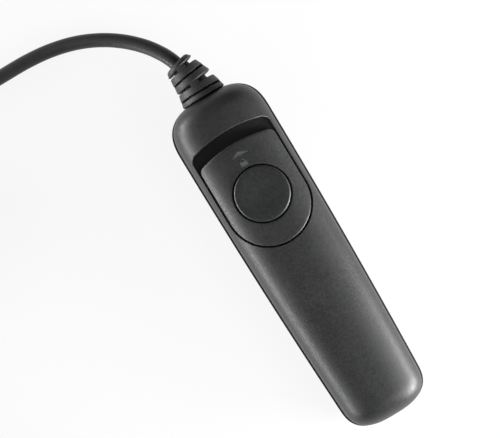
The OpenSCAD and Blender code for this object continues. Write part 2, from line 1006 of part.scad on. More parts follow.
// A drop of solder on a tab, over the end of its wire.
module solder_joint(angle, x, z) {
    difference() {
        translate([x, tab_mid_y, z + leaf_t])
            cylinder(d1 = solder_d, d2 = solder_top_d, h = wire_d + solder_over);
        core_wire(angle, x, z);
    }
}

module solder_joints() {
    color([0.78, 0.79, 0.8]) {
        solder_joint(120, tab_x[0], shutter_z);
        solder_joint(0, tab_x[1], focus_z);
        solder_joint(240, tab_x[2], common_z);
    }
}

// Places children on the bent axis of the strain relief, s along it from the casing's end.
module on_bend(s) {
    translate([-bend_r, head_y, split_z])
        rotate([0, 0, relief_bend * s / relief_len])
            translate([bend_r, 0, 0])
                children();
}

// A round bar along the bend, which may run on past the tip.
module bent_bar(d, further = 0) {
    translate([-bend_r, head_y, split_z])
        rotate_extrude(angle = relief_bend + further, $fn = 64)
            translate([bend_r, 0])
                circle(d = d);
}

// Diameter of the strain relief at a place along its bend.
function relief_d(s) = relief_base_d + (relief_tip_d - relief_base_d) * s / relief_len;

// Thickness of ring k, and where it starts.
function ring_t(k) = k == 0 ? base_ring_t : k == ring_count - 1 ? tip_ring_t : inner_ring_t;

function ring_low(k) =
    k == 0 ? 0 : ring_low(k - 1) + ring_t(k - 1) + (k % 2 == 1 ? slot_t : notch_t);

// A piece of the strain relief's cone, along +Y from a place on its bend.
module relief_cone(low, high, inset) {
    rotate([-90, 0, 0])
        cylinder(d1 = relief_d(low) - 2 * inset, d2 = relief_d(high) - 2 * inset, h = high - low);
}

// Ring k, which leans about its middle. The tip ring ends in a slope.
module relief_ring(k) {
    low = ring_low(k);
    middle = ring_t(k) / 2;
    tip = k == ring_count - 1;
    straight = tip ? ring_t(k) - tip_slope : ring_t(k);
    lean = k == 0 ? 0 : k % 2 == 1 ? -ring_lean : ring_lean;
    on_bend(low)
        translate([0, middle, 0])
            rotate([0, 0, lean])
                translate([0, -middle, 0]) {
                    relief_cone(low, low + straight, 0);
                    if (tip)
                        translate([0, straight, 0])
                            rotate([-90, 0, 0])
                                cylinder(
                                    d1 = relief_d(low + straight),
                                    d2 = relief_d(relief_len) - 2 * tip_slope,
                                    h = tip_slope
                                );
                }
}

// Core and two webs between ring k and the next. The webs are above and below, or at the sides.
module relief_link(k) {
    low = ring_low(k) + ring_t(k) - web_lap;
    high = ring_low(k + 1) + web_lap;
    on_bend(low) {
        relief_cone(low, high, ring_depth);
        intersection() {
            relief_cone(low, high, web_inset);
            rotate([0, k % 2 == 0 ? 90 : 0, 0])
                translate([-relief_web / 2, 0, -relief_base_d])
                    cube([relief_web, high - low, 2 * relief_base_d]);
        }
    }
}

module strain_relief() {
    color([0.17, 0.175, 0.19])
        difference() {
            union() {
                along_y(flange_d, inner_wall_y - flange_t, inner_wall_y - play);
                along_y(neck_d, inner_wall_y - flange_t, head_y);
                along_y(relief_base_d, head_y - seat_depth + play, head_y);
                for (k = [0:ring_count - 1])
                    relief_ring(k);
                for (k = [0:ring_count - 2])
                    relief_link(k);
            }
            union() {
                along_y(cord_d + 2 * play, inner_wall_y - flange_t - past, head_y);
                bent_bar(cord_d + 2 * play, bore_past);
            }
        }
}

module cord_inner_end() {
    color([0.1, 0.1, 0.11])
        union() {
            along_y(cord_d, inner_end_y, head_y);
            bent_bar(cord_d);
        }
}

module cord_lead() {
    color([0.11, 0.11, 0.12])
        tube(lead_points, cord_d, 8);
}

function smooth(t) = t <= 0 ? 0 : t >= 1 ? 1 : t * t * (3 - 2 * t);

// Radius and height of the coil after t turns: it spirals in and out, layer on layer.
function coil_r(t) =
    let (layer = min(floor(t / layer_turns), coil_layers - 1), f = t / layer_turns - layer)
    coil_out_r - coil_band * (layer % 2 == 0 ? f : 1 - f);

function climb(t, k) = smooth((t - k * layer_turns) / climb_turns + 0.5);

function coil_z(t) = cord_d / 2 + coil_step * (climb(t, 1) + climb(t, 2) + climb(t, 3));

function coil_at(t) = [
    coil_x + coil_r(t) * cos(90 + 360 * t),
    coil_y + coil_r(t) * sin(90 + 360 * t),
    coil_z(t)
];

coil_line = concat(
    [[coil_x + cord_d, coil_y + coil_out_r, cord_d / 2]],
    [for (k = [0:coil_turns * coil_rings]) coil_at(k / coil_rings)],
    [[coil_x - coil_out_r, coil_y - cord_d, coil_top_z]]
);

// Least gap between turns, taken from points that lie half a turn or more apart.
function least_gap(line, apart) = min([
    for (i = [0:len(line) - 1 - apart])
        min([for (k = [i + apart:len(line) - 1]) norm(line[k] - line[i])])
]) - cord_d;

module cord_coil() {
    fine = [for (k = [0:coil_turns * 48]) coil_at(k / 48)];
    echo(coil_least_gap = least_gap(fine, 24));
    color([0.12, 0.12, 0.13])
        tube(coil_line, cord_d, 6);
}

module cord_tail() {
    color([0.11, 0.11, 0.12])
        tube(tail_points, cord_d, 8);
}

// Lays children that point along +Z from z = 0 along the plug, from a place on its axis.
module along_plug(y) {
    translate([plug_x, y, plug_z])
        rotate([90, 0, 0])
            children();
}

module rounded_box(w, h, r) {
    offset(r = r)
        square([w - 2 * r, h - 2 * r], center = true);
}

module plug_collar() {
    step = collar_len / collar_rings;
    color([0.16, 0.16, 0.17])
        along_plug(plug_y)
            union() {
                cylinder(d = collar_core_d, h = collar_len);
                for (k = [0:collar_rings - 1])
                    translate([0, 0, (k + 1 - collar_rib_share) * step])
                        cylinder(
                            d = collar_d - collar_taper * (collar_rings - 1 - k),
                            h = step * collar_rib_share
                        );
            }
}

module plug_grip() {
    color([0.42, 0.44, 0.43])
        difference() {
            intersection() {
                along_plug(grip_y)
                    linear_extrude(grip_len)
                        rounded_box(grip_w, grip_h, grip_round);
                translate([plug_x, grip_y, plug_z - grip_h])
                    linear_extrude(2 * grip_h)
                        polygon([
                            [-grip_w / 2 + grip_narrow, 0], [-grip_w / 2, -grip_taper],
                            [-grip_w / 2, -grip_len], [grip_w / 2, -grip_len],
                            [grip_w / 2, -grip_taper], [grip_w / 2 - grip_narrow, 0]
                        ]);
            }
            for (s = [-1, 1])
                translate([
                    plug_x + s * dimple_x, grip_y - dimple_inset,
                    plug_z + grip_h / 2 - dimple_depth
                ])
                    cylinder(d = dimple_d, h = past);
            along_plug(core_y)
                linear_extrude(core_len)
                    square([shell_w - 2 * shell_t + loose, shell_h - 2 * shell_t + loose], center = true);
        }
}

module plug_nose() {
    color([0.4, 0.42, 0.41])
        along_plug(nose_y)
            difference() {
                union() {
                    linear_extrude(groove_len)
                        rounded_box(nose_w - 2 * groove_depth, nose_h - 2 * groove_depth, nose_round);
                    translate([0, 0, groove_len])
                        linear_extrude(nose_len - groove_len)
                            rounded_box(nose_w, nose_h, nose_round);
                }
                translate([0, 0, -past])
                    linear_extrude(nose_len + 2 * past)
                        square([shell_w + loose, shell_h + loose], center = true);
            }
}

module plug_shell() {
    color([0.8, 0.81, 0.82])
        along_plug(nose_y - play)
            linear_extrude(nose_len + shell_len - play)
                difference() {
                    square([shell_w, shell_h], center = true);
                    square([shell_w - 2 * shell_t, shell_h - 2 * shell_t], center = true);
                }
}

module plug_insulator() {
    color([0.1, 0.1, 0.11])
        along_plug(core_y)
            union() {
                linear_extrude(core_y - mouth_y)
                    square([inner_w, inner_h], center = true);
                translate([-inner_w / 2, -inner_h / 2, 0])
                    cube([inner_w, tongue_h, core_y - mouth_y + socket_depth - tongue_back]);
            }
}

module plug_contacts() {
    color([0.85, 0.68, 0.3])
        along_plug(mouth_y)
            for (k = [0:pin_count - 1])
                translate([(k - (pin_count - 1) / 2) * pin_pitch - pin_w / 2, tongue_top, 0])
                    cube([pin_w, pin_t, socket_depth - pin_back]);
}

upper_cover();
lower_cover();
cover_screws();
hold_slide();
release_button();
return_spring();
contact_base();
shutter_contact();
lower_spacer();
focus_contact();
upper_spacer();
common_contact();
clamp_plate();
clamp_screws();
shutter_wire();
focus_wire();
common_wire();
solder_joints();
strain_relief();
cord_inner_end();
cord_lead();
cord_coil();
cord_tail();
plug_collar();
plug_grip();
plug_nose();
plug_shell();
plug_insulator();
plug_contacts();
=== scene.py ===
# %% [markdown]
# # A wired shutter release
# The part is a small remote for a camera: a curved plastic handset with a round button in a
# slide, a rubber strain relief, about a metre of cord and a flat plug. The solids come
# packed as a fixed frame, and this lesson dresses them. Each piece of looks rides on a body
# of the frame, so it moves when the button or the slide moves.

# %% Load the frame
import json
import math
import bmesh
import bpy
from mathutils import Matrix, Vector

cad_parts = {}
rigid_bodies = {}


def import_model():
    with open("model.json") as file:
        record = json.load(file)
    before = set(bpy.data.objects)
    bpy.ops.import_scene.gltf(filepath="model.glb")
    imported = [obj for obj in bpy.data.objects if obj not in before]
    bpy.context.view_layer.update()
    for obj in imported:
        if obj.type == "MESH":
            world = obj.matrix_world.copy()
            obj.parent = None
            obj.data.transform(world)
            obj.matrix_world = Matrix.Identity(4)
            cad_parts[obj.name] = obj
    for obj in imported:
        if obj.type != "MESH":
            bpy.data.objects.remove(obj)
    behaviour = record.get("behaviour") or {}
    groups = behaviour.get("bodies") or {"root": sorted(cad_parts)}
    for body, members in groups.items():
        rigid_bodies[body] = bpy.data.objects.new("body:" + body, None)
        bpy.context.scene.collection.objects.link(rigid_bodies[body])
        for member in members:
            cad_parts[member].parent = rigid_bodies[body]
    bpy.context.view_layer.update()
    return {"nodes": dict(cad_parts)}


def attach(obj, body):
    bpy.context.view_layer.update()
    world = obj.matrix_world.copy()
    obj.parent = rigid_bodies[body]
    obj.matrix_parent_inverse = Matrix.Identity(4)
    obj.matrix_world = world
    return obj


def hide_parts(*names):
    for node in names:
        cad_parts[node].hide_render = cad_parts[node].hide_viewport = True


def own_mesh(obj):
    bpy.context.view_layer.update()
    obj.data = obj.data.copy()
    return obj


for spare in list(bpy.data.objects):
    bpy.data.objects.remove(spare)
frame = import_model()
MM = 0.001
QUARTER = math.radians(90)

# %% [markdown]
# ## Camera
# The camera looks straight down at the handset, which lies on its back. A long lens from
# 70 cm keeps the sides of the casing nearly upright. The picture is turned about the
# vertical, so the handset runs from the upper left to the lower right.

# %% Set the camera
VIEW_TURN = math.radians(-31.1)
VIEW_CENTRE = Vector((-6.4, 15.35, 8.6)) * MM
VIEW_WIDTH = 136.24 * MM
VIEW_DISTANCE = 0.7
SENSOR = 36
CLIP_START = 10 * MM


def placed(name, data):
    """A new object in the scene, at the origin."""
    item = bpy.data.objects.new(name, data)
    bpy.context.scene.collection.objects.link(item)
    return item


camera = placed("camera", bpy.data.cameras.new("camera"))
bpy.context.scene.camera = camera
camera.data.sensor_width = SENSOR
camera.data.lens = SENSOR * VIEW_DISTANCE / VIEW_WIDTH
camera.data.clip_start = CLIP_START
camera.location = VIEW_CENTRE + Vector((0, 0, VIEW_DISTANCE))
camera.rotation_euler = (0, 0, VIEW_TURN)
bpy.context.scene.view_settings.view_transform = "Standard"
print("focal length:", round(camera.data.lens, 1), "mm")

# %% [markdown]
# ## Route of the cord
# The cord is one curve. It could be drawn by hand as a Bezier curve, but the lengths matter
# here: the lead and the tail pass through the same points as the solids, and the coil comes
# from a formula. The coil has four layers, and its line spirals in and out again while it
# climbs. A smooth line through all the points then gets a round section.

# %% Measures that the cord shares with the handset
CORD_D = 4 * MM
HEAD_Y = 50.5 * MM
SPLIT_Z = 8.6 * MM
RELIEF_LEN = 11.7 * MM
RELIEF_BEND = math.radians(18)
BEND_R = RELIEF_LEN / RELIEF_BEND
relief_tip = Vector((
    BEND_R * (math.cos(RELIEF_BEND) - 1), HEAD_Y + BEND_R * math.sin(RELIEF_BEND), SPLIT_Z
))
lead_way = Vector((-math.sin(RELIEF_BEND), math.cos(RELIEF_BEND), 0))
LEAD_RUN = 1.2 * MM
print("strain relief bends round:", round(BEND_R / MM, 1), "mm")

# %% Points of the lead and of the tail
PLUG_X = -113 * MM
PLUG_Y = HEAD_Y - 48.5 * MM
PLUG_Z = 3.8 * MM
COIL_X = -93 * MM
COIL_Y = HEAD_Y + 9.1 * MM
lead_free = [
    (-3.6, 15.6, 8.4), (-6.5, 19.8, 7.6), (-11.1, 24.4, 6.2), (-16.6, 28.2, 4.8),
    (-22.7, 31, 3.5), (-29.5, 32.8, 2.5), (-36.6, 33.6, 2.1), (-44, 33.7, 2),
    (-54, 33.7, 2), (-64, 33.7, 2), (-74, 33.7, 2), (-82, 33.7, 2),
]
tail_free = [
    (-117.4, -6, 14.2), (-116.9, -14, 11.4), (-116, -22, 8.2), (-114.8, -30, 5.6),
    (-113.6, -38, 4.2),
]
print("free points:", len(lead_free), "on the lead,", len(tail_free), "on the tail")


def from_head(points):
    """Points in millimetres from the casing's cord end, in metres from the origin."""
    return [Vector(p) * MM + Vector((0, HEAD_Y, 0)) for p in points]


# %% Turns of the coil
COIL_TURNS = 6.25
COIL_LAYERS = 4
COIL_MID_R = 21 * MM
COIL_PITCH = 4.6 * MM
COIL_STEP = 4.45 * MM
CLIMB_TURNS = 0.5
POINTS_PER_TURN = 48
layer_turns = COIL_TURNS / COIL_LAYERS
coil_band = layer_turns * COIL_PITCH
coil_out_r = COIL_MID_R + coil_band / 2
coil_top_z = CORD_D / 2 + (COIL_LAYERS - 1) * COIL_STEP
print("coil:", round((2 * coil_out_r + CORD_D) / MM, 1), "mm wide in", COIL_LAYERS, "layers")


def smooth_step(t):
    """Rises from 0 to 1, level at both ends."""
    t = min(max(t, 0), 1)
    return t * t * (3 - 2 * t)


def coil_at(turn):
    """The coil's line after a number of turns."""
    layer = min(int(turn / layer_turns), COIL_LAYERS - 1)
    share = turn / layer_turns - layer
    radius = coil_out_r - coil_band * (1 - share if layer % 2 else share)
    climbs = [
        smooth_step((turn - k * layer_turns) / CLIMB_TURNS + 0.5)
        for k in range(1, COIL_LAYERS)
    ]
    angle = QUARTER + math.tau * turn
    return Vector((
        COIL_X + radius * math.cos(angle),
        COIL_Y + radius * math.sin(angle),
        CORD_D / 2 + COIL_STEP * sum(climbs),
    ))


# %% One smooth line through all of them
def line_through(points, step):
    """A smooth line through points, with a new point about every step."""
    times = [0.0]
    for a, b in zip(points, points[1:]):
        times.append(times[-1] + (b - a).length)
    ways = [(points[1] - points[0]) / (times[1] - times[0])]
    for k in range(1, len(points) - 1):
        ways.append((points[k + 1] - points[k - 1]) / (times[k + 1] - times[k - 1]))
    ways.append((points[-1] - points[-2]) / (times[-1] - times[-2]))
    line = []
    for k in range(len(points) - 1):
        long = times[k + 1] - times[k]
        parts = max(1, round(long / step))
        for i in range(parts):
            t = i / parts
            line.append(
                points[k] * (2 * t**3 - 3 * t**2 + 1)
                + points[k + 1] * (3 * t**2 - 2 * t**3)
                + ways[k] * long * (t**3 - 2 * t**2 + t)
                + ways[k + 1] * long * (t**3 - t**2)
            )
    return [*line, points[-1]]


route = [
    relief_tip,
    relief_tip + LEAD_RUN * lead_way,
    *from_head(lead_free),
    Vector((COIL_X + 2 * CORD_D, COIL_Y + coil_out_r, CORD_D / 2)),
    Vector((COIL_X + CORD_D, COIL_Y + coil_out_r, CORD_D / 2)),
    *[coil_at(k / POINTS_PER_TURN) for k in range(int(COIL_TURNS * POINTS_PER_TURN) + 1)],
    Vector((COIL_X - coil_out_r, COIL_Y - CORD_D, coil_top_z)),
    Vector((COIL_X - coil_out_r, COIL_Y - 2 * CORD_D, coil_top_z)),
    *from_head(tail_free),
    Vector((PLUG_X, PLUG_Y + CORD_D, PLUG_Z)),
    Vector((PLUG_X, PLUG_Y, PLUG_Z)),
]
cord_line = line_through(route, 1 * MM)
cord_length = sum((b - a).length for a, b in zip(cord_line, cord_line[1:]))
print("cord:", round(cord_length, 3), "m in", len(cord_line), "points")

# %% [markdown]
# ## Shader maths
# A procedural material is a graph of nodes. Wiring it by hand takes many lines, so a small
# class wraps an output socket and lets Python's operators add the Math nodes. Every other
# node comes from one method, which takes the node's type, its settings and its sockets.


# %% Sockets that can be added and multiplied
class Signal:
    """An output socket that stands in an expression."""

    def __init__(self, finish, socket):
        self.finish = finish
        self.socket = socket

    def out(self, name):
        """Another output of the same node."""
        return Signal(self.finish, self.socket.node.outputs[name])

    def math(self, operation, first, second):
        return self.finish.add("ShaderNodeMath", {"operation": operation}, {0: first, 1: second})

    def swing(self, amount):
        """Noise about zero, which varies another value up and down."""
        return (self - 0.5) * amount

    def __add__(self, other):
        return self.math("ADD", self, other)

    def __sub__(self, other):
        return self.math("SUBTRACT", self, other)

    def __rsub__(self, other):
        return self.math("SUBTRACT", other, self)

    def __mul__(self, other):
        return self.math("MULTIPLY", self, other)

    __radd__ = __add__
    __rmul__ = __mul__


class Finish:
    """A material under construction."""

    def __init__(self, name):
        self.material = bpy.data.materials.new(name)
        self.material.use_nodes = True
        self.tree = self.material.node_tree
        self.tree.nodes.clear()
        self.output = self.tree.nodes.new("ShaderNodeOutputMaterial")
        self.place = self.add("ShaderNodeTexCoord", {}, {}).out("Object")

    def add(self, kind, settings, sockets):
        """A node of that kind, its settings made first, then its sockets set or linked."""
        node = self.tree.nodes.new(kind)
        for name, value in settings.items():
            if name == "stops":
                ramp = node.color_ramp.elements
                while len(ramp) < len(value):
                    ramp.new(0.5)
                for stop, (place, shade) in zip(ramp, value):
                    stop.position = place
                    stop.color = (*shade, 1)
            else:
                setattr(node, name, value)
        for name, value in sockets.items():
            if isinstance(value, Signal):
                self.tree.links.new(value.socket, node.inputs[name])
            else:
                node.inputs[name].default_value = value
        return Signal(self, node.outputs[0])

    def noise(self, size, detail=2, place=None):
        """Noise whose blotches are about that size, in metres."""
        where = self.place if place is None else place
        return self.add(
            "ShaderNodeTexNoise", {}, {"Vector": where, "Scale": 1 / size, "Detail": detail}
        )

    def stretched(self, x, y, z):
        """The surface's coordinates, scaled along each axis."""
        return self.add("ShaderNodeMapping", {}, {"Vector": self.place, "Scale": (x, y, z)})

    def mixed(self, share, first, second):
        """A colour between two others."""
        return self.add(
            "ShaderNodeMix", {"data_type": "RGBA"}, {"Factor": share, 6: first, 7: second}
        ).out(2)

    def bumped(self, height, deep, strength):
        """A normal that follows a height."""
        return self.add(
            "ShaderNodeBump", {}, {"Height": height, "Distance": deep, "Strength": strength}
        )

    def show(self, shader):
        """Ends the material with that shader."""
        self.tree.links.new(shader.socket, self.output.inputs["Surface"])
        return self.material

    def surface(self, **sockets):
        """The surface's own shader; an underscore in a name stands for a space."""
        named = {name.replace("_", " "): value for name, value in sockets.items()}
        return self.show(self.add("ShaderNodeBsdfPrincipled", {}, named))


def shade(value, tint):
    """A colour from one linear value and a tint."""
    return (value * tint[0], value * tint[1], value * tint[2], 1)


# %% [markdown]
# ## Finishes
# Moulded plastic isn't one flat colour. Its mould was spark-eroded, which leaves a fine
# grain that softens reflections, and handling polishes it a little in places. So each
# plastic has a fine grain in its bump, and blotches in its roughness and colour. The lower
# cover comes from a duller mould, which keeps its rim quiet beside the upper one. The
# rubber is duller and rougher, the cord's jacket is nearly matt, and the metals are
# brushed or plated.


# %% Moulded plastics
def moulded(name, dark, light, rough, grain=0.6 * MM, tint=(0.96, 1.02, 0.98), gloss=0.5):
    """Plastic from an etched mould: grain, slight clouds and handling marks."""
    finish = Finish(name)
    etched = finish.noise(grain, 3)
    clouds = finish.noise(9 * MM, 3)
    handled = finish.noise(2.2 * MM, 4)
    colour = finish.mixed(clouds * 0.3 + etched * 0.7, shade(dark, tint), shade(light, tint))
    return finish.surface(
        Base_Color=colour,
        Roughness=rough + clouds.swing(0.10) + etched.swing(0.3) + handled.swing(0.08),
        IOR=1.5,
        Specular_IOR_Level=gloss,
        Normal=finish.bumped(etched, 0.05 * MM, 0.18),
    )


cover_plastic = moulded("cover_plastic", 0.002, 0.032, 0.47)
back_plastic = moulded("back_plastic", 0.006, 0.018, 0.50, gloss=0.2)
slide_plastic = moulded("slide_plastic", 0.003, 0.034, 0.46)
button_plastic = moulded("button_plastic", 0.006, 0.034, 0.38, tint=(0.95, 1.0, 0.99))
base_plastic = moulded("base_plastic", 0.012, 0.020, 0.45)
plug_plastic = moulded("plug_plastic", 0.115, 0.145, 0.42, tint=(0.97, 1.0, 0.98))
mark_paint = moulded("mark_paint", 0.11, 0.15, 0.5, grain=0.12 * MM)


# %% Rubber and the cord's jacket
def rubbery(name, dark, light, rough, tint, grain, bump):
    """A dull elastomer with specks of bloom on its surface."""
    finish = Finish(name)
    fine = finish.noise(grain, 4)
    clouds = finish.noise(4 * MM, 2)
    bloom = finish.add(
        "ShaderNodeValToRGB",
        {"stops": [(0.55, (0, 0, 0)), (0.8, (1, 1, 1))]},
        {"Fac": finish.noise(0.9 * MM, 5)},
    )
    colour = finish.mixed(clouds * 0.6 + bloom * 0.4, shade(dark, tint), shade(light, tint))
    return finish.surface(
        Base_Color=colour,
        Roughness=rough + clouds.swing(0.12) + fine.swing(0.1),
        IOR=1.5,
        Normal=finish.bumped(fine, 0.03 * MM, bump),
    )


relief_rubber = rubbery("relief_rubber", 0.014, 0.036, 0.55, (0.94, 0.97, 1.06), 0.35 * MM, 0.5)
cord_jacket = rubbery("cord_jacket", 0.018, 0.03, 0.48, (1.0, 1.0, 0.97), 0.4 * MM, 0.3)


# %% Metals
def metal(name, colour, rough, grain, along=(1, 1, 1)):
    """Plated or drawn metal, with fine marks that may run along one axis."""
    finish = Finish(name)
    marks = finish.noise(grain, 4, finish.stretched(*along))
    clouds = finish.noise(3 * MM)
    return finish.surface(
        Base_Color=finish.mixed(clouds, shade(0.8, colour), shade(1, colour)),
        Metallic=1.0,
        Roughness=rough + marks.swing(0.2) + clouds.swing(0.1),
        Normal=finish.bumped(marks, 0.01 * MM, 0.15),
    )


shell_steel = metal("shell_steel", (0.72, 0.72, 0.70), 0.26, 0.12 * MM, (1, 0.08, 1))
screw_steel = metal("screw_steel", (0.55, 0.55, 0.56), 0.30, 0.15 * MM)
spring_steel = metal("spring_steel", (0.62, 0.62, 0.64), 0.25, 0.2 * MM)
solder = metal("solder", (0.70, 0.71, 0.72), 0.35, 0.5 * MM)
leaf_bronze = metal("leaf_bronze", (0.70, 0.46, 0.20), 0.30, 0.15 * MM, (1, 0.1, 1))
pin_gold = metal("pin_gold", (0.85, 0.60, 0.22), 0.22, 0.1 * MM)


# %% Laminate and the wires' insulation
def insulation(name, colour):
    """The thin glossy skin of a wire, a little uneven."""
    finish = Finish(name)
    cloud = finish.noise(0.8 * MM)
    return finish.surface(
        Base_Color=finish.mixed(cloud, shade(0.75, colour), shade(1, colour)),
        Roughness=0.32 + cloud * 0.1,
        Normal=finish.bumped(cloud, 0.01 * MM, 0.2),
    )


def layered(name, dark, light):
    """Paper laminate: sheets pressed together, which show as lines at its edges."""
    finish = Finish(name)
    sheets = finish.noise(0.08 * MM, 2, finish.stretched(0.05, 0.05, 1))
    fibre = finish.noise(0.6 * MM, 5)
    return finish.surface(
        Base_Color=finish.mixed(sheets * 0.6 + fibre * 0.4, shade(1, dark), shade(1, light)),
        Roughness=0.45 + fibre * 0.15,
        Normal=finish.bumped(fibre, 0.01 * MM, 0.2),
    )


wire_red = insulation("wire_red", (0.45, 0.02, 0.015))
wire_white = insulation("wire_white", (0.75, 0.75, 0.72))
wire_black = insulation("wire_black", (0.012, 0.012, 0.013))
laminate = layered("laminate", (0.10, 0.045, 0.018), (0.27, 0.13, 0.05))
print("finishes:", len(bpy.data.materials))

# %% [markdown]
# ## Mesh tools
# Most of the handset's pieces are closed surfaces that go round something: a rim, a bore
# or an axis. A flat grid can be bent into any of them. Its columns go round, its rows go
# up, and lists give each corner its place. Cuts are then made with the Boolean modifier,
# whose manifold solver keeps such closed meshes closed.

# %% Bend a grid into a ring
MERGE = 1e-4 * MM


def closed(bm):
    """Fills what is open and turns every face outwards."""
    rim = [e for e in bm.edges if e.is_boundary]
    if rim:
        bmesh.ops.holes_fill(bm, edges=rim, sides=0)
    bmesh.ops.recalc_face_normals(bm, faces=bm.faces)
    return bm


def wrapped(columns):
    """A closed solid from columns of places that go once round it."""
    around, rows = len(columns), len(columns[0]) - 1
    bm = bmesh.new()
    bmesh.ops.create_grid(bm, x_segments=around, y_segments=rows, size=0.5)
    for vert in bm.verts:
        column = round((vert.co.x + 0.5) * around) % around
        row = round((vert.co.y + 0.5) * rows)
        vert.co = columns[column][row]
    bmesh.ops.remove_doubles(bm, verts=bm.verts, dist=MERGE)
    return closed(bm)


# %% Make an object from a mesh
SHARP = math.radians(32)


def piece_from(bm, name, finish):
    """A smooth shaded object whose steep edges stay sharp."""
    mesh = bpy.data.meshes.new(name)
    bm.to_mesh(mesh)
    bm.free()
    mesh.materials.append(finish)
    mesh.shade_smooth()
    mesh.set_sharp_from_angle(angle=SHARP)
    return placed(name, mesh)


# %% Cut and join
def carve(piece, steps, sharp=SHARP):
    """Cuts or joins other meshes; steps are pairs of an operation and a closed mesh."""
    tools = []
    for operation, bm in steps:
        tools.append(piece_from(bm, "tool", piece.data.materials[0]))
        boolean = piece.modifiers.new("carve", "BOOLEAN")
        boolean.operation = operation
        boolean.solver = "MANIFOLD"
        boolean.object = tools[-1]
    depsgraph = bpy.context.evaluated_depsgraph_get()
    result = bpy.data.meshes.new_from_object(piece.evaluated_get(depsgraph))
    piece.modifiers.clear()
    piece.data = result
    for tool in tools:
        bpy.data.objects.remove(tool)
    result.shade_smooth()
    result.set_sharp_from_angle(angle=sharp)
    return piece


def carved(bm, finish, steps):
    """A mesh that is carved itself before it carves another."""
    piece = carve(piece_from(bm, "tool", finish), steps)
    taken = bmesh.new()
    taken.from_mesh(piece.data)
    bpy.data.objects.remove(piece)
    return taken


def cuts(*meshes):
    """Steps that take closed meshes away, one after the other."""
    return [("DIFFERENCE", bm) for bm in meshes]


def joins(*meshes):
    """Steps that add closed meshes, one after the other."""
    return [("UNION", bm) for bm in meshes]


# %% Places that come in twos
def span(middle, size):
    """Both ends of a size that lies about a middle."""
    return (middle - size / 2, middle + size / 2)


def beside(side, near, far):
    """Both ends of a stretch on one side of the middle, which is -1 or 1."""
    return sorted((side * near, side * far))


def pair(x, y):
    """Two places, one on each side of the middle."""
    return [(x, y), (-x, y)]


# %% Simple closed shapes
POST_SIDES = 48
BAR_SIDES = 64
ALONG_Y = Matrix.Rotation(-QUARTER, 4, "X")


def moved(bm, matrix):
    """The same mesh, turned and moved."""
    bmesh.ops.transform(bm, verts=bm.verts, matrix=matrix)
    return bm


def box(x, y, z):
    """A block between two places on each axis."""
    bm = bmesh.new()
    size = Vector((x[1] - x[0], y[1] - y[0], z[1] - z[0]))
    middle = Vector((x[0] + x[1], y[0] + y[1], z[0] + z[1])) / 2
    matrix = Matrix.Translation(middle) @ Matrix.Diagonal(size).to_4x4()
    bmesh.ops.create_cube(bm, size=1, matrix=matrix)
    return bm


def post(x, y, diameter, low, high, segments=POST_SIDES):
    """An upright cylinder."""
    bm = bmesh.new()
    bmesh.ops.create_cone(
        bm, cap_ends=True, segments=segments, radius1=diameter / 2, radius2=diameter / 2,
        depth=high - low, matrix=Matrix.Translation((x, y, (low + high) / 2)),
    )
    return bm


def bar(diameter, low, high):
    """A cylinder along the middle of the casing."""
    upright = post(0, 0, diameter, low, high, BAR_SIDES)
    return moved(upright, Matrix.Translation((0, 0, SPLIT_Z)) @ ALONG_Y)


def both(*meshes):
    """Several closed meshes as one; they may not overlap."""
    merged = bmesh.new()
    for bm in meshes:
        mesh = bpy.data.meshes.new("part")
        bm.to_mesh(mesh)
        bm.free()
        merged.from_mesh(mesh)
        bpy.data.meshes.remove(mesh)
    return merged


def posts(places, diameter, low, high):
    """An upright cylinder at each place, as one mesh."""
    return both(*[post(x, y, diameter, low, high) for x, y in places])


# %% Round edges and arcs
def ease(bm, edges, offset, segments, clamp=False):
    """Rounds edges off, in place."""
    bmesh.ops.bevel(
        bm, geom=edges, offset=offset, segments=segments, profile=0.5, affect="EDGES",
        material=-1, clamp_overlap=clamp,
    )


def arc_points(x, y, radius, start, stop, steps):
    """Places on an arc of a section or of a plan."""
    return [
        (x + radius * math.cos(a), y + radius * math.sin(a))
        for a in [start + (stop - start) * k / steps for k in range(steps + 1)]
    ]


# %% [markdown]
# ## Shape of the casing
# Seen from above, the casing is a long taper that swells a little, with rounded ends. Its
# section is a superellipse, squarer than a circle. The same formulas give the outside and,
# with other sizes, the inside of each cover. The surface is laid out in spokes: straight
# across the long middle, and like a fan round each end. All rows then follow the rim, so
# the rim can take an even bevel.

# %% Formulas of the casing
FOOT_Y = -50.5 * MM
HEAD_W = 28.2 * MM
FOOT_W = 24.9 * MM
SIDE_SWELL = 0.4 * MM
WIDTH_Y = HEAD_Y - 11 * MM
HEAD_RISE = 9.6 * MM
FOOT_RISE = 9 * MM
BACK_DROP = 9.2 * MM
WALL = 1.8 * MM
HEAD_WALL = 3 * MM
HEAD_ROUND = 11.8 * MM
FOOT_ROUND = 8.6 * MM
END_SLOPE = 6.5 * MM
RIM_OUT = 0.5 * MM
REVEAL = 0.4 * MM
PLAN_CURVE = 2.85
SIDE_CURVE = 2.5
TOP_CURVE = 2.5
BACK_CURVE = 2.6
PAST = 1 * MM
joint_z = SPLIT_Z + REVEAL


def half_width(y):
    """Half of the casing's width, before its ends round off."""
    share = y / WIDTH_Y
    return (HEAD_W + FOOT_W) / 4 + (HEAD_W - FOOT_W) / 4 * share + SIDE_SWELL * (1 - share**2)


def crown(y):
    """Height of the upper cover above the joint."""
    return FOOT_RISE + (HEAD_RISE - FOOT_RISE) * (y - FOOT_Y) / (HEAD_Y - FOOT_Y)


def nose(t, curve):
    """Share of the full size at a share t of the rounding's length."""
    t = min(max(t, 0), 1)
    return (1 - (1 - t) ** curve) ** (1 / curve)


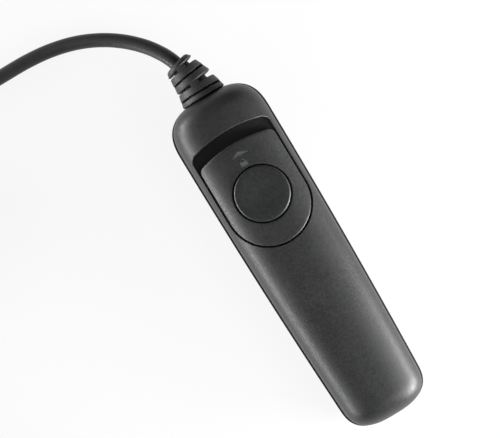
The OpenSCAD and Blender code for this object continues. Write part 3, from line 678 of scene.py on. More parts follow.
class Half:
    """The curved surface of one half of the casing, above or below the joint."""

    def __init__(self, inset, low, high, thinner, rise, curve):
        self.inset = inset
        self.low = low
        self.high = high
        self.head_round = HEAD_ROUND - thinner
        self.foot_round = FOOT_ROUND - thinner
        self.slope = END_SLOPE - thinner
        self.rise = rise
        self.curve = curve

    def width(self, y):
        """Half of the width at a place along the casing."""
        low = nose((y - self.low) / self.foot_round, PLAN_CURVE)
        high = nose((self.high - y) / self.head_round, PLAN_CURVE)
        return (half_width(y) - self.inset) * low * high

    def height(self, x, y):
        """Height of the surface, away from the joint."""
        wide = self.width(y)
        if abs(x) >= wide:
            return 0.0
        low = nose((y - self.low) / self.slope, SIDE_CURVE)
        high = nose((self.high - y) / self.slope, SIDE_CURVE)
        return self.rise(y) * low * high * (1 - (abs(x) / wide) ** self.curve) ** (1 / self.curve)


upper_outside = Half(RIM_OUT, FOOT_Y, HEAD_Y, 0, crown, TOP_CURVE)
upper_inside = Half(
    RIM_OUT + WALL, FOOT_Y + WALL, HEAD_Y - HEAD_WALL, WALL, lambda y: crown(y) - WALL, TOP_CURVE
)
lower_outside = Half(0, FOOT_Y, HEAD_Y, 0, lambda y: BACK_DROP, BACK_CURVE)
lower_inside = Half(
    WALL, FOOT_Y + WALL, HEAD_Y - HEAD_WALL, WALL, lambda y: BACK_DROP - WALL, BACK_CURVE
)
print("wide at the cord's end:", round(2 * half_width(WIDTH_Y) / MM, 1), "mm")

# %% Spokes
SIDE_SPOKES = 110
FAN_SPOKES = 60
FAN_R = 12 * MM
LONGEST = 30 * MM
HALVINGS = 50


def heading(angle):
    """The direction at an angle of the plan."""
    return Vector((math.cos(angle), math.sin(angle)))


def spokes(half):
    """Start and direction of each spoke, once round the casing."""
    low, high = half.low + FAN_R, half.high - FAN_R
    side = [low + (high - low) * k / SIDE_SPOKES for k in range(SIDE_SPOKES)]
    fan = [heading(math.pi * k / FAN_SPOKES) for k in range(FAN_SPOKES)]
    made = [(Vector((0, y)), Vector((1, 0))) for y in side]
    made += [(Vector((0, high)), way) for way in fan]
    made += [(Vector((0, low + high - y)), Vector((-1, 0))) for y in side]
    made += [(Vector((0, low)), -way) for way in fan]
    return made


def reach(start, way, inside):
    """How far a spoke goes until inside(point) is no longer true."""
    near, far = 0.0, LONGEST
    for _ in range(HALVINGS):
        middle = (near + far) / 2
        if inside(start + way * middle):
            near = middle
        else:
            far = middle
    return near


print("spokes:", len(spokes(upper_outside)), "round each half")

# %% Shells
SHELL_ROWS = 40
RIM_BEVEL = 0.14 * MM
RIM_STEPS = 2
FLUSH = 1e-3 * MM


def shell(half, level, sign):
    """A closed solid under the curved surface, from a level above the joint."""
    shares = [math.cos(QUARTER * k / SHELL_ROWS) ** (2 / half.curve) for k in range(SHELL_ROWS)]
    columns = []
    for start, way in spokes(half):
        long = reach(start, way, lambda p: half.height(p.x, p.y) > level)
        column = []
        for share in [*shares, 0]:
            point = start + way * long * share
            high = half.height(point.x, point.y) if column else level
            column.append((point.x, point.y, SPLIT_Z + sign * high))
        columns.append(column)
    return wrapped(columns)


def rimmed_shell(half, level, sign):
    """Such a shell with a small bevel round its flat face."""
    bm = shell(half, level, sign)
    z = SPLIT_Z + sign * level
    rim = [e for e in bm.edges if all(abs(v.co.z - z) < FLUSH for v in e.verts)]
    ease(bm, rim, RIM_BEVEL, RIM_STEPS, clamp=True)
    return bm


# %% Rings in the plane of the casing
def outline_ring(inset):
    """Points round the casing, a set amount inside its rim."""
    rim = Half(inset, FOOT_Y + inset, HEAD_Y - inset, inset, crown, TOP_CURVE)
    ring = []
    for start, way in spokes(rim):
        long = reach(start, way, lambda p: abs(p.x) < rim.width(p.y))
        ring.append(start + way * long)
    return ring


def prism(ring, low, high):
    """A closed solid with the ring as its plan."""
    return wrapped([[(*spot, low), (*spot, high)] for spot in ring])


# %% [markdown]
# ## The recess and its edge
# The slide lies in a recess with a round end, two straight sides and a bowed end. On the
# real cover its edge is slightly rounded, and that thin rounded line is what catches the
# light. A bevel would have to cope with the casing's curve, which is steep at the sides.
# So the cutter itself carries the round: its wall goes up, turns over the edge on a small
# arc and then leaves the surface.

# %% Plan of the recess and of the slide
RECESS_R = 11.9 * MM
RECESS_HIGH = HEAD_Y - 11.5 * MM
RECESS_LOW = RECESS_HIGH - 34.5 * MM
RECESS_BOW = 37 * MM
RECESS_CORNER = 2.3 * MM
FLOOR_Z = 13 * MM
PRESS_TRAVEL = 1.6 * MM
FLOOR_T = 1.4 * MM
RECESS_WALL = 1.4 * MM
ROUND_STEPS = 72
SIDE_STEPS = 36
CORNER_STEPS = 10
BOW_STEPS = 48


def arc(centre, radius, start, stop, steps):
    """Points on an arc with their outward directions, without the last one."""
    ways = [heading(start + (stop - start) * k / steps) for k in range(steps)]
    return [(Vector(centre) + way * radius, way) for way in ways]


def plate(r, low, high, corner):
    """Points round the recess's plan, each with its outward direction."""
    bow_y = high - RECESS_BOW
    corner_y = bow_y + math.sqrt((RECESS_BOW - corner) ** 2 - (r - corner) ** 2)
    tilt = math.atan2(corner_y - bow_y, r - corner)
    side = [low + r + (corner_y - low - r) * k / SIDE_STEPS for k in range(SIDE_STEPS)]
    made = arc((0, low + r), r, math.pi, math.tau, ROUND_STEPS)
    made += [(Vector((r, y)), Vector((1, 0))) for y in side]
    made += arc((r - corner, corner_y), corner, 0, tilt, CORNER_STEPS)
    made += arc((0, bow_y), RECESS_BOW, tilt, math.pi - tilt, BOW_STEPS)
    made += arc((corner - r, corner_y), corner, math.pi - tilt, math.pi, CORNER_STEPS)
    made += [(Vector((-r, corner_y + low + r - y)), Vector((-1, 0))) for y in side]
    return made


print("recess:", round(2 * RECESS_R / MM, 1), "by", round((RECESS_HIGH - RECESS_LOW) / MM, 1), "mm")

# %% Rounded edges that follow the casing's surface
PROBE = 0.05 * MM


def top_z(point):
    """Height of the upper cover's surface over a point of the plan."""
    return SPLIT_Z + upper_outside.height(point.x, point.y)


def fall(point, way):
    """Angle at which the surface falls away from a point."""
    return math.atan((top_z(point) - top_z(point + way * PROBE)) / PROBE)


def edge_of_hole(point, way, radius, turns):
    """Places over the rounded edge of a hole; way points from the hole into the cover."""
    slope = fall(point, way)
    centre = point + way * radius
    centre_z = top_z(point) - radius * math.tan(slope) - radius / math.cos(slope)
    made = []
    for turn in turns:
        angle = turn * (QUARTER + slope)
        spot = centre - way * radius * math.cos(angle)
        made.append((spot.x, spot.y, centre_z + radius * math.sin(angle)))
    return made


def edge_of_plate(point, way, radius, turns):
    """Places over the rounded outer edge of a plate, from its top to its side."""
    slope = fall(point, way)
    centre = point - way * radius
    centre_z = top_z(point) + radius * math.tan(slope) - radius / math.cos(slope)
    made = []
    for turn in turns:
        angle = slope + turn * (QUARTER - slope)
        spot = centre + way * radius * math.sin(angle)
        made.append((spot.x, spot.y, centre_z + radius * math.cos(angle)))
    return made


# %% Cutter of the recess
POCKET_EDGE = 0.2 * MM
EDGE_TURNS = [0, 0.17, 0.34, 0.51, 0.68, 0.85]
HIGH = 20 * MM


def pocket():
    """The solid that the recess takes out of the upper cover."""
    columns = []
    for point, way in plate(RECESS_R, RECESS_LOW, RECESS_HIGH, RECESS_CORNER):
        over = edge_of_hole(point, way, POCKET_EDGE, EDGE_TURNS)
        away = point + way * 3 * POCKET_EDGE
        columns.append([(*point, FLOOR_Z), *over, (*away, HIGH)])
    return wrapped(columns)


# %% [markdown]
# ## Covers
# Each cover is made as the mould makes it: a curved outside, a hollow inside with screw
# bosses and a tub for the recess, and a tongue that stands in a rebate of the other cover.
# Only the outside shows, but the inside is what makes the two shells separate pieces.

# %% Places of the screws and holes
SCREW_D = 1.7 * MM
BOSS_D = 5.2 * MM
HEAD_HOLE_D = 3.9 * MM
SCREW_SEAT = 2.2 * MM
SCREW_IN = 3.4 * MM
cover_screws_at = [*pair(8.2 * MM, HEAD_Y - 8.6 * MM), (0, FOOT_Y + 12 * MM)]
BUTTON_Y = RECESS_HIGH - 19.5 * MM
HOLD_TRAVEL = 3.5 * MM
FLANGE_D = 11.4 * MM
FLANGE_T = 1.4 * MM
NECK_D = 9.4 * MM
RELIEF_BASE_D = 12.8 * MM
SEAT_DEPTH = 0.3 * MM
LOOSE = 0.1 * MM
inner_wall_y = HEAD_Y - HEAD_WALL
print("cover screws:", len(cover_screws_at), "of", round(SCREW_D / MM, 1), "mm")


def relief_seat():
    """The three bores that hold the strain relief."""
    return [
        bar(FLANGE_D + 2 * LOOSE, inner_wall_y - FLANGE_T - PAST, inner_wall_y),
        bar(NECK_D + LOOSE, inner_wall_y - PAST, HEAD_Y),
        bar(RELIEF_BASE_D + 2 * LOOSE, HEAD_Y - SEAT_DEPTH, HEAD_Y + PAST),
    ]


# %% Openings in the recess's floor
LEG = Vector((1.2, 4)) * MM
LEG_X = 4.5 * MM
HOOK = 0.8 * MM
HOOK_T = 0.6 * MM
LOCK_GAP = 0.2 * MM
STEM_D = 5 * MM
SLIDE_LEG = Vector((1.4, 3)) * MM
slide_legs = [
    (side * x, BUTTON_Y + up, side * way)
    for side in (1, -1)
    for x, up, way in ((7.5 * MM, 8.8 * MM, 1), (9.4 * MM, 0, -1))
]


def floor_openings():
    """Slots for the legs and the stem, long enough for the slide's travel.

    A ledge at the bottom of the button's slots holds its hooks when it is locked down.
    """
    through = (FLOOR_Z - FLOOR_T - PAST, FLOOR_Z + PAST)
    low = BUTTON_Y - LEG.y / 2 - LOOSE
    high = BUTTON_Y + LEG.y / 2 + HOLD_TRAVEL + LOOSE
    stem = STEM_D / 2 + 3 * LOOSE
    wide = LEG_X + LEG.x + 2 * LOOSE
    ledge_z = FLOOR_Z - FLOOR_T + PRESS_TRAVEL - HOOK_T - 2 * LOCK_GAP
    slots = []
    for x, y, _ in slide_legs:
        low_end, high_end = span(y, SLIDE_LEG.y + 2 * LOOSE)
        along = (low_end, high_end + HOLD_TRAVEL)
        slots.append(box(span(x, SLIDE_LEG.x + 2 * LOOSE), along, through))
    return [
        box((-stem, stem), (BUTTON_Y - stem, BUTTON_Y + stem + HOLD_TRAVEL), through),
        box((-wide, wide), (low, high), through),
        box((-wide - HOOK, wide + HOOK), (low, BUTTON_Y + LEG.y / 2 + 3 * LOOSE), through),
        box((-wide - HOOK, wide + HOOK), (low, high), (ledge_z, FLOOR_Z + PAST)),
        both(*slots),
    ]


# %% Upper cover
TONGUE_IN = 1.2 * MM
TONGUE_T = 1 * MM
TONGUE_DEPTH = 1 * MM
SINK = 0.2 * MM
FLAT = 0.9


def ring_bar(outer, inner, low, high):
    """A rectangular bar that goes round between two rings."""
    return wrapped([
        [(*a, low), (*a, high), (*b, high), (*b, low), (*a, low)] for a, b in zip(outer, inner)
    ])


def hollow(half, sign):
    """The inside of a cover, its flat face pulled past the joint."""
    bm = shell(half, 0, sign)
    flat = [f for f in bm.faces if sign * f.normal.z < -FLAT and len(f.verts) > 4]
    pulled = bmesh.ops.extrude_face_region(bm, geom=flat)["geom"]
    bmesh.ops.delete(bm, geom=flat, context="FACES")
    verts = [g for g in pulled if isinstance(g, bmesh.types.BMVert)]
    bmesh.ops.translate(bm, verts=verts, vec=(0, 0, -sign * PAST))
    bmesh.ops.recalc_face_normals(bm, faces=bm.faces)
    return bm


def upper_cavity():
    """The hollow of the upper cover, less the tub and the screw bosses."""
    tub = plate(
        RECESS_R + RECESS_WALL, RECESS_LOW - RECESS_WALL,
        RECESS_HIGH + RECESS_WALL, RECESS_CORNER + RECESS_WALL,
    )
    return carved(hollow(upper_inside, 1), cover_plastic, cuts(
        prism([point for point, _ in tub], FLOOR_Z - FLOOR_T, HIGH),
        posts(cover_screws_at, BOSS_D, joint_z, HIGH),
    ))


def upper_shell():
    """The upper cover, with its tongue, recess, slots and screw holes."""
    cover = piece_from(rimmed_shell(upper_outside, REVEAL, 1), "upper_shell", cover_plastic)
    tongue = ring_bar(
        outline_ring(TONGUE_IN), outline_ring(TONGUE_IN + TONGUE_T),
        SPLIT_Z - TONGUE_DEPTH, joint_z + SINK,
    )
    screw_holes = posts(cover_screws_at, SCREW_D, SPLIT_Z - 2 * TONGUE_DEPTH, joint_z + SCREW_IN)
    return carve(cover, [
        *cuts(upper_cavity()),
        *joins(tongue),
        *cuts(pocket(), *floor_openings(), screw_holes, *relief_seat()),
    ])


upper = upper_shell()
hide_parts("upper_cover")
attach(upper, "casing")
print("upper cover:", len(upper.data.polygons), "faces")

# %% Lower cover
RIB_T = 1 * MM
RIB_TOP = 3 * MM
BASE_Z = 3.4 * MM
POST_WALL = 1.3 * MM
PEG_FOOT_D = 4 * MM
PEG_D = 2 * MM
PEG_LEN = 1.5 * MM
clamp_screws_at = pair(3.4 * MM, BUTTON_Y + 14.8 * MM)
pegs_at = pair(4.2 * MM, BUTTON_Y - 3.5 * MM)
ribs_at = [FOOT_Y + 20 * MM, FOOT_Y + 32 * MM, FOOT_Y + 44 * MM]


def lower_cavity():
    """The hollow of the lower cover, less its bosses, posts, pegs and ribs."""
    ribs = [box(span(0, 2 * HEAD_W), span(y, RIB_T), (-PAST, RIB_TOP)) for y in ribs_at]
    return carved(hollow(lower_inside, -1), cover_plastic, cuts(
        posts(cover_screws_at, BOSS_D, -PAST, HIGH),
        both(
            posts(clamp_screws_at, SCREW_D + 2 * POST_WALL, -PAST, BASE_Z),
            posts(pegs_at, PEG_FOOT_D, -PAST, BASE_Z),
        ),
        posts(pegs_at, PEG_D, -PAST, BASE_Z + PEG_LEN),
        both(*ribs),
    ))


def rebate():
    """Room for the upper cover's tongue, less the screw bosses."""
    room = prism(outline_ring(TONGUE_IN - LOOSE), SPLIT_Z - TONGUE_DEPTH, SPLIT_Z + PAST)
    return carved(room, cover_plastic, cuts(posts(cover_screws_at, BOSS_D, 0, joint_z)))


def lower_shell():
    """The lower cover, with its flat back, bosses, rebate and screw holes."""
    bm = rimmed_shell(lower_outside, 0, -1)
    bmesh.ops.bisect_plane(
        bm, geom=[*bm.verts, *bm.edges, *bm.faces], plane_co=(0, 0, 0), plane_no=(0, 0, -1),
        clear_outer=True,
    )
    cover = piece_from(closed(bm), "lower_shell", back_plastic)
    screw_holes = posts(cover_screws_at, SCREW_D + 2 * LOOSE, -PAST, HIGH)
    head_holes = posts(cover_screws_at, HEAD_HOLE_D, -PAST, SCREW_SEAT)
    return carve(cover, [
        *joins(posts(cover_screws_at, BOSS_D, SPLIT_Z - PAST, joint_z)),
        *cuts(lower_cavity(), rebate(), screw_holes, head_holes, *relief_seat()),
    ])


lower = lower_shell()
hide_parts("lower_cover")
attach(lower, "casing")
print("lower cover:", len(lower.data.polygons), "faces")

# %% [markdown]
# ## Hold slide
# The slide fills the recess and carries the button. Its top is a piece of the casing's own
# curved surface. Here one grid makes nearly all of it: each column starts at the hole for
# the button's stem, goes up the bore, over the rounded edge, across the top, down the
# side, and comes back under the slide. The mark is cut in afterwards.

# %% Sections of the slide
SLIDE_GAP = 0.35 * MM
TOUCH = 0.05 * MM
SLIDE_Z = FLOOR_Z + TOUCH
WEB_TOP = SLIDE_Z + 1.15 * MM
SKIRT_T = 1.3 * MM
BORE_D = 16 * MM
SLIDE_EDGE = 0.45 * MM
BORE_EDGE = 0.22 * MM
TOP_ROWS = 14
ROUND_TURNS = [0, 0.25, 0.5, 0.75, 1]
ROOF_T = 1.2 * MM
slide_r = RECESS_R - SLIDE_GAP
slide_low = RECESS_LOW + SLIDE_GAP
slide_high = RECESS_HIGH - SLIDE_GAP - HOLD_TRAVEL
button_at = Vector((0, BUTTON_Y))
roof_z = top_z(Vector((slide_r - SKIRT_T, slide_low))) - ROOF_T
stem_hole_r = STEM_D / 2 + TOUCH
print("slide:", round((slide_high - slide_low) / MM, 1), "mm long")


def slide_column(point, way):
    """One section of the slide, from the stem's hole round to it again."""
    out = (point - button_at).normalized()
    bore = button_at + out * BORE_D / 2
    inner = edge_of_hole(bore, out, BORE_EDGE, ROUND_TURNS)
    outer = edge_of_plate(point, way, SLIDE_EDGE, ROUND_TURNS)
    first, last = Vector(inner[-1][:2]), Vector(outer[0][:2])
    spots = [first.lerp(last, k / TOP_ROWS) for k in range(1, TOP_ROWS)]
    top = [(*spot, top_z(spot)) for spot in spots]
    hole = button_at + out * stem_hole_r
    skirt = point - way * SKIRT_T
    boss = button_at + out * (BORE_D / 2 + SKIRT_T)
    return [
        (*hole, SLIDE_Z), (*hole, WEB_TOP), (*bore, WEB_TOP), *inner, *top, *outer,
        (*point, SLIDE_Z), (*skirt, SLIDE_Z), (*skirt, roof_z), (*boss, roof_z),
        (*boss, SLIDE_Z), (*hole, SLIDE_Z),
    ]


# %% Mark on the slide
mark_y = slide_high - 5 * MM
MARK_DEPTH = 0.25 * MM
ARROW = [(-3.15, 1), (3.15, 1), (0, 2.4)]
LOCK = [(-1.1, -2.2), (1.1, -2.2), (1.1, -0.7), (-1.1, -0.7)]
SHACKLE_IN, SHACKLE_OUT = 0.5, 0.85
SHACKLE_Y = -0.75
SHACKLE_STEPS = 15
mark_floor = SPLIT_Z + crown(mark_y) - MARK_DEPTH


def mark_cutters():
    """An arrow that shows which way to push, and a padlock under it, drawn in millimetres."""
    shackle = [
        *arc_points(0, SHACKLE_Y, SHACKLE_OUT, 0, math.pi, SHACKLE_STEPS),
        *arc_points(0, SHACKLE_Y, SHACKLE_IN, math.pi, 0, SHACKLE_STEPS),
    ]
    made = []
    for ring in (ARROW, LOCK, shackle):
        corners = [Vector(spot) * MM + Vector((0, mark_y)) for spot in ring]
        made.append(prism(corners, mark_floor, HIGH))
    return made


# %% Slide with its legs
SLIDE_HOOK = 0.7 * MM


def slide_leg(x, y, way):
    """A leg under the slide, with the hook that holds it down."""
    low = FLOOR_Z - FLOOR_T - LOOSE - HOOK
    along = span(y, SLIDE_LEG.y)
    hook = sorted((x, x + way * (SLIDE_LEG.x / 2 + SLIDE_HOOK)))
    return [
        box(span(x, SLIDE_LEG.x), along, (low, roof_z + SINK)),
        box(hook, along, (low, low + HOOK)),
    ]


def hold_slide():
    """The slide's body with its mark, the holes for the button's legs and its own legs."""
    ring = plate(slide_r, slide_low, slide_high, RECESS_CORNER - SLIDE_GAP)
    body = wrapped([slide_column(point, way) for point, way in ring])
    slide = piece_from(body, "hold_slide_top", slide_plastic)
    along = span(BUTTON_Y, LEG.y + LOOSE)
    through = (SLIDE_Z - PAST, WEB_TOP + PAST)
    leg_holes = [
        box(beside(side, LEG_X - LOOSE / 2, LEG_X + LEG.x + LOOSE / 2), along, through)
        for side in (-1, 1)
    ]
    legs = [mesh for leg in slide_legs for mesh in slide_leg(*leg)]
    return carve(slide, cuts(*mark_cutters(), *leg_holes) + joins(*legs))


slide = hold_slide()
slide.data.materials.append(mark_paint)
for face in slide.data.polygons:
    deep = top_z(face.center) - face.center.z > MARK_DEPTH / 4
    if deep and face.normal.z > FLAT and abs(face.center.z - mark_floor) < FLUSH:
        face.material_index = 1
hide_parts("hold_slide")
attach(slide, "slide")
print("hold slide:", len(slide.data.polygons), "faces")

# %% [markdown]
# ## Release button
# The button is turned: half of its section, spun round its axis. Its top is slightly
# dished for the thumb, with a soft edge round the dish. Two legs with hooks hang from it.

# %% Spin the button
BUTTON_D = 15.3 * MM
BUTTON_PROUD = 0.5 * MM
CAP_T = 1.6 * MM
STEM_LEN = 7.3 * MM
TIP_D = 3 * MM
BUTTON_SKIRT_T = 1.2 * MM
DISH = 0.35 * MM
BUTTON_EDGE = 0.5 * MM
SKIRT_ROOM = 0.25 * MM
STEM_TIP = 1 * MM
DISH_CURVE = 1.5
DISH_STEPS = 12
EDGE_STEPS = 8
BUTTON_SIDES = 128
button_top = SPLIT_Z + crown(BUTTON_Y) + BUTTON_PROUD
cap_z = button_top - CAP_T
skirt_z = WEB_TOP + PRESS_TRAVEL + SKIRT_ROOM


def spun(section, steps):
    """A closed body of rotation about the Z axis, from half of its section."""
    bm = bmesh.new()
    verts = [bm.verts.new((r, 0, z)) for r, z in section]
    for a, b in zip(verts, verts[1:]):
        bm.edges.new((a, b))
    bmesh.ops.spin(
        bm, geom=[*bm.verts, *bm.edges], cent=(0, 0, 0), axis=(0, 0, 1), dvec=(0, 0, 0),
        angle=math.tau, steps=steps, use_merge=True,
    )
    bmesh.ops.remove_doubles(bm, verts=bm.verts, dist=MERGE)
    return closed(bm)


def release_button():
    """The dished cap with its skirt and stem, and the two hooked legs."""
    outer = BUTTON_D / 2
    rim = outer - 2 * BUTTON_EDGE
    inner = outer - BUTTON_SKIRT_T
    shares = [k / DISH_STEPS for k in range(DISH_STEPS)]
    section = [
        *[(rim * share, button_top - DISH * (1 - share**2) ** DISH_CURVE) for share in shares],
        *arc_points(
            outer - BUTTON_EDGE, button_top - BUTTON_EDGE, BUTTON_EDGE, QUARTER, 0, EDGE_STEPS
        ),
        (outer, skirt_z), (inner, skirt_z), (inner, cap_z), (STEM_D / 2, cap_z),
        (STEM_D / 2, FLOOR_Z - FLOOR_T), (TIP_D / 2, cap_z - STEM_LEN + STEM_TIP),
        (TIP_D / 2, cap_z - STEM_LEN), (0, cap_z - STEM_LEN),
    ]
    body = moved(spun(section, BUTTON_SIDES), Matrix.Translation((0, BUTTON_Y, 0)))
    button = piece_from(body, "release_button_top", button_plastic)
    low, along = FLOOR_Z - HOOK_T, span(BUTTON_Y, LEG.y)
    legs = []
    for side in (-1, 1):
        legs.append(box(beside(side, LEG_X, LEG_X + LEG.x), along, (low, cap_z + SINK)))
        legs.append(box(beside(side, LEG_X, LEG_X + LEG.x + HOOK), along, (low, FLOOR_Z)))
    return carve(button, joins(*legs))


button = release_button()
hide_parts("release_button")
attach(button, "button")
print("button:", len(button.data.polygons), "faces")

# %% [markdown]
# ## Strain relief
# Five rubber rings get smaller towards the cord. A core and two webs join each ring to the
# next, and the webs turn a quarter from gap to gap, so the relief bends easily. Each ring
# is turned with rounded edges and set on the bent axis. The rings lean away from each
# other across the two open gaps, which take most of the bend, and the tip is nearly a dome.

# %% Rings, core and webs
RING_COUNT = 5
BASE_RING_T = 1.1 * MM
TIP_RING_T = 1.7 * MM
SLOT_T = 0.6 * MM
NOTCH_T = 0.8 * MM
RING_DEPTH = 1.9 * MM
RING_LEAN = math.radians(1.2)
RELIEF_TIP_D = 8.2 * MM
RELIEF_WEB = 2.6 * MM
WEB_LAP = 0.3 * MM
FINE_EDGE = 0.02 * MM
TIGHT_EDGE = 0.15 * MM
OPEN_EDGE = 0.5 * MM
TIP_EDGE = 1.1 * MM
NECK_EDGE = 0.1 * MM
FLANGE_EDGE = 0.2 * MM
RING_SIDES = 72
LOW_EDGE_STEPS = 6
RELIEF_SHARP = math.radians(40)
ring_forms = [
    (TIGHT_EDGE, TIGHT_EDGE, 0), (TIGHT_EDGE, OPEN_EDGE, -1), (OPEN_EDGE, TIGHT_EDGE, 1),
    (TIGHT_EDGE, OPEN_EDGE, -1), (OPEN_EDGE, TIP_EDGE, 1),
]
inner_ring_t = (RELIEF_LEN - BASE_RING_T - TIP_RING_T - 2 * SLOT_T - 2 * NOTCH_T) / (RING_COUNT - 2)
bore_r = CORD_D / 2 + TOUCH


def on_bend(along):
    """Where a section of the relief stands, a distance from the casing's end."""
    turn = RELIEF_BEND * along / RELIEF_LEN
    return (
        Matrix.Translation((-BEND_R, HEAD_Y, SPLIT_Z))
        @ Matrix.Rotation(turn, 4, "Z")
        @ Matrix.Translation((BEND_R, 0, 0))
    )


def relief_r(along):
    """Radius of the relief's cone at a place along its bend."""
    return (RELIEF_BASE_D + (RELIEF_TIP_D - RELIEF_BASE_D) * along / RELIEF_LEN) / 2


def washer(low_r, high_r, thick, low_edge, high_edge):
    """A bored ring from z = 0 up, part of a cone outside, with both outer edges rounded."""
    section = [
        (bore_r, 0), *arc_points(low_r - low_edge, low_edge, low_edge, -QUARTER, 0, LOW_EDGE_STEPS),
        *arc_points(high_r - high_edge, thick - high_edge, high_edge, 0, QUARTER, EDGE_STEPS),
        (bore_r, thick), (bore_r, 0),
    ]
    return spun(section, RING_SIDES)


rings = []
ring_start = 0
for k in range(RING_COUNT):
    thick = {0: BASE_RING_T, RING_COUNT - 1: TIP_RING_T}.get(k, inner_ring_t)
    rings.append((ring_start, ring_start + thick))
    ring_start += thick + (NOTCH_T if k % 2 else SLOT_T)
print("rings:", [(round(a / MM, 1), round(b / MM, 1)) for a, b in rings])


def relief_ring(k):
    """Ring k, which leans about its middle."""
    low, high = rings[k]
    low_edge, high_edge, lean_way = ring_forms[k]
    ring = washer(relief_r(low), relief_r(high), high - low, low_edge, high_edge)
    middle = Matrix.Translation((0, (high - low) / 2, 0))
    lean = Matrix.Rotation(lean_way * RING_LEAN, 4, "Z")
    return moved(ring, on_bend(low) @ middle @ lean @ middle.inverted() @ ALONG_Y)


def link_cone(k, inset):
    """A piece of the relief's cone between ring k and the next, before it is set on the bend."""
    low, high = rings[k][1] - WEB_LAP, rings[k + 1][0] + WEB_LAP
    return washer(
        relief_r(low) - inset, relief_r(high) - inset, high - low, FINE_EDGE, FINE_EDGE
    ), low, high


def relief_core(k):
    """The thin round core between ring k and the next."""
    cone, low, _ = link_cone(k, RING_DEPTH)
    return moved(cone, on_bend(low) @ ALONG_Y)


def relief_web(k, side):
    """One of the two webs between ring k and the next: a slice of the cone."""
    cone, low, high = link_cone(k, TOUCH)
    across, outwards = span(0, RELIEF_WEB), beside(side, 0, RELIEF_BASE_D)
    slab = (outwards, across) if k % 2 == 0 else (across, outwards)
    web = carved(cone, relief_rubber, [("INTERSECT", box(*slab, (-PAST, high - low + PAST)))])
    return moved(web, on_bend(low) @ ALONG_Y)


# %% Relief as one piece
def strain_relief():
    """The foot in the casing's mouth, the neck and flange inside, the rings and their links."""
    base = Matrix.Translation((0, HEAD_Y - SEAT_DEPTH + TOUCH, SPLIT_Z)) @ ALONG_Y
    neck = Matrix.Translation((0, inner_wall_y - FLANGE_T, SPLIT_Z)) @ ALONG_Y
    base_r, neck_r, flange_r = RELIEF_BASE_D / 2, NECK_D / 2, FLANGE_D / 2
    long = HEAD_WALL + FLANGE_T - SEAT_DEPTH + SINK
    foot = moved(washer(base_r, base_r, SEAT_DEPTH + SINK, TIGHT_EDGE, FINE_EDGE), base)
    steps = joins(
        moved(washer(neck_r, neck_r, long, NECK_EDGE, NECK_EDGE), neck),
        moved(washer(flange_r, flange_r, FLANGE_T - TOUCH, FLANGE_EDGE, FLANGE_EDGE), neck),
        *[relief_ring(k) for k in range(RING_COUNT)],
    )
    for k in range(RING_COUNT - 1):
        steps += joins(relief_core(k), relief_web(k, -1), relief_web(k, 1))
    relief = piece_from(foot, "strain_relief_rings", relief_rubber)
    return carve(relief, steps, RELIEF_SHARP)


relief = strain_relief()
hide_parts("strain_relief")
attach(relief, "casing")
print("strain relief:", len(relief.data.polygons), "faces")

# %% [markdown]
# ## Cord
# The curve gets a round section from its bevel depth, which is half of the cord's
# diameter. Its two ends meet the strain relief and the plug's collar.

# %% Make the cord
curve = bpy.data.curves.new("cord", "CURVE")
curve.dimensions = "3D"
curve.bevel_depth = CORD_D / 2
curve.bevel_resolution = 6
curve.use_fill_caps = True
spline = curve.splines.new("POLY")
spline.points.add(len(cord_line) - 1)
for knot, spot in zip(spline.points, cord_line):
    knot.co = (*spot, 1)
curve.materials.append(cord_jacket)
cord = placed("cord", curve)
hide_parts("cord_lead", "cord_coil", "cord_tail")
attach(cord, "casing")
print("cord:", len(spline.points), "knots")

# %% [markdown]
# ## Plug
# The plug lies at the far end of the cord, on its side of the coil. Its grip is a flat
# block with rounded edges that narrows towards the cord, and a smaller step holds the
# metal shell. A block is made upright, bevelled and then laid down along the cord.

# %% Lay a piece along the plug
GRIP = Vector((12.4, 7.6, 20)) * MM
GRIP_CORNER = 1.2 * MM
GRIP_END = 0.35 * MM
TAPER = 2 * MM
TAPER_LEN = 5 * MM
NOSE = Vector((10.6, 6.2, 5)) * MM
NOSE_CORNER = 1 * MM
NOSE_END = 0.3 * MM
SHELL = Vector((7.2, 3, 8)) * MM
SHELL_T = 0.25 * MM
SHELL_CORNER = 0.4 * MM
SHELL_HOLE_CORNER = 0.2 * MM
COLLAR_LEN = 7 * MM
BLOCK_STEPS = 6
END_STEPS = 3
grip_y = PLUG_Y - COLLAR_LEN
nose_y = grip_y - GRIP.z
print("plug:", round((COLLAR_LEN + GRIP.z + NOSE.z + SHELL.z) / MM, 1), "mm long")


def along_plug(y):
    """Turns +Z along the plug, from a place on its axis."""
    return Matrix.Translation((PLUG_X, y, PLUG_Z)) @ Matrix.Rotation(QUARTER, 4, "X")


def soft_block(size, low, corner, end=0, taper=0, taper_len=0):
    """An upright block with rounded edges; its low end may be narrower."""
    bm = box(span(0, size.x), span(0, size.y), (low, low + size.z))
    upright = [e for e in bm.edges if abs(e.verts[0].co.z - e.verts[1].co.z) > size.z / 2]
    ease(bm, upright, corner, BLOCK_STEPS)
    if taper:
        bmesh.ops.bisect_plane(
            bm, geom=[*bm.verts, *bm.edges, *bm.faces], plane_co=(0, 0, low + taper_len),
            plane_no=(0, 0, 1),
        )
        for vert in bm.verts:
            short = max(0.0, 1 - (vert.co.z - low) / taper_len)
            vert.co.x *= 1 - short * taper / (size.x / 2)
    if end:
        flat = {f for f in bm.faces if abs(f.normal.z) > FLAT and len(f.verts) > 4}
        ease(bm, [e for e in bm.edges if flat & set(e.link_faces)], end, END_STEPS)
    bmesh.ops.recalc_face_normals(bm, faces=bm.faces)
    return bm


def shell_block(grow, low, high, corner):
    """A block with the section of the metal shell, made a little wider or narrower."""
    return soft_block(Vector((SHELL.x + grow, SHELL.y + grow, high - low)), low, corner)


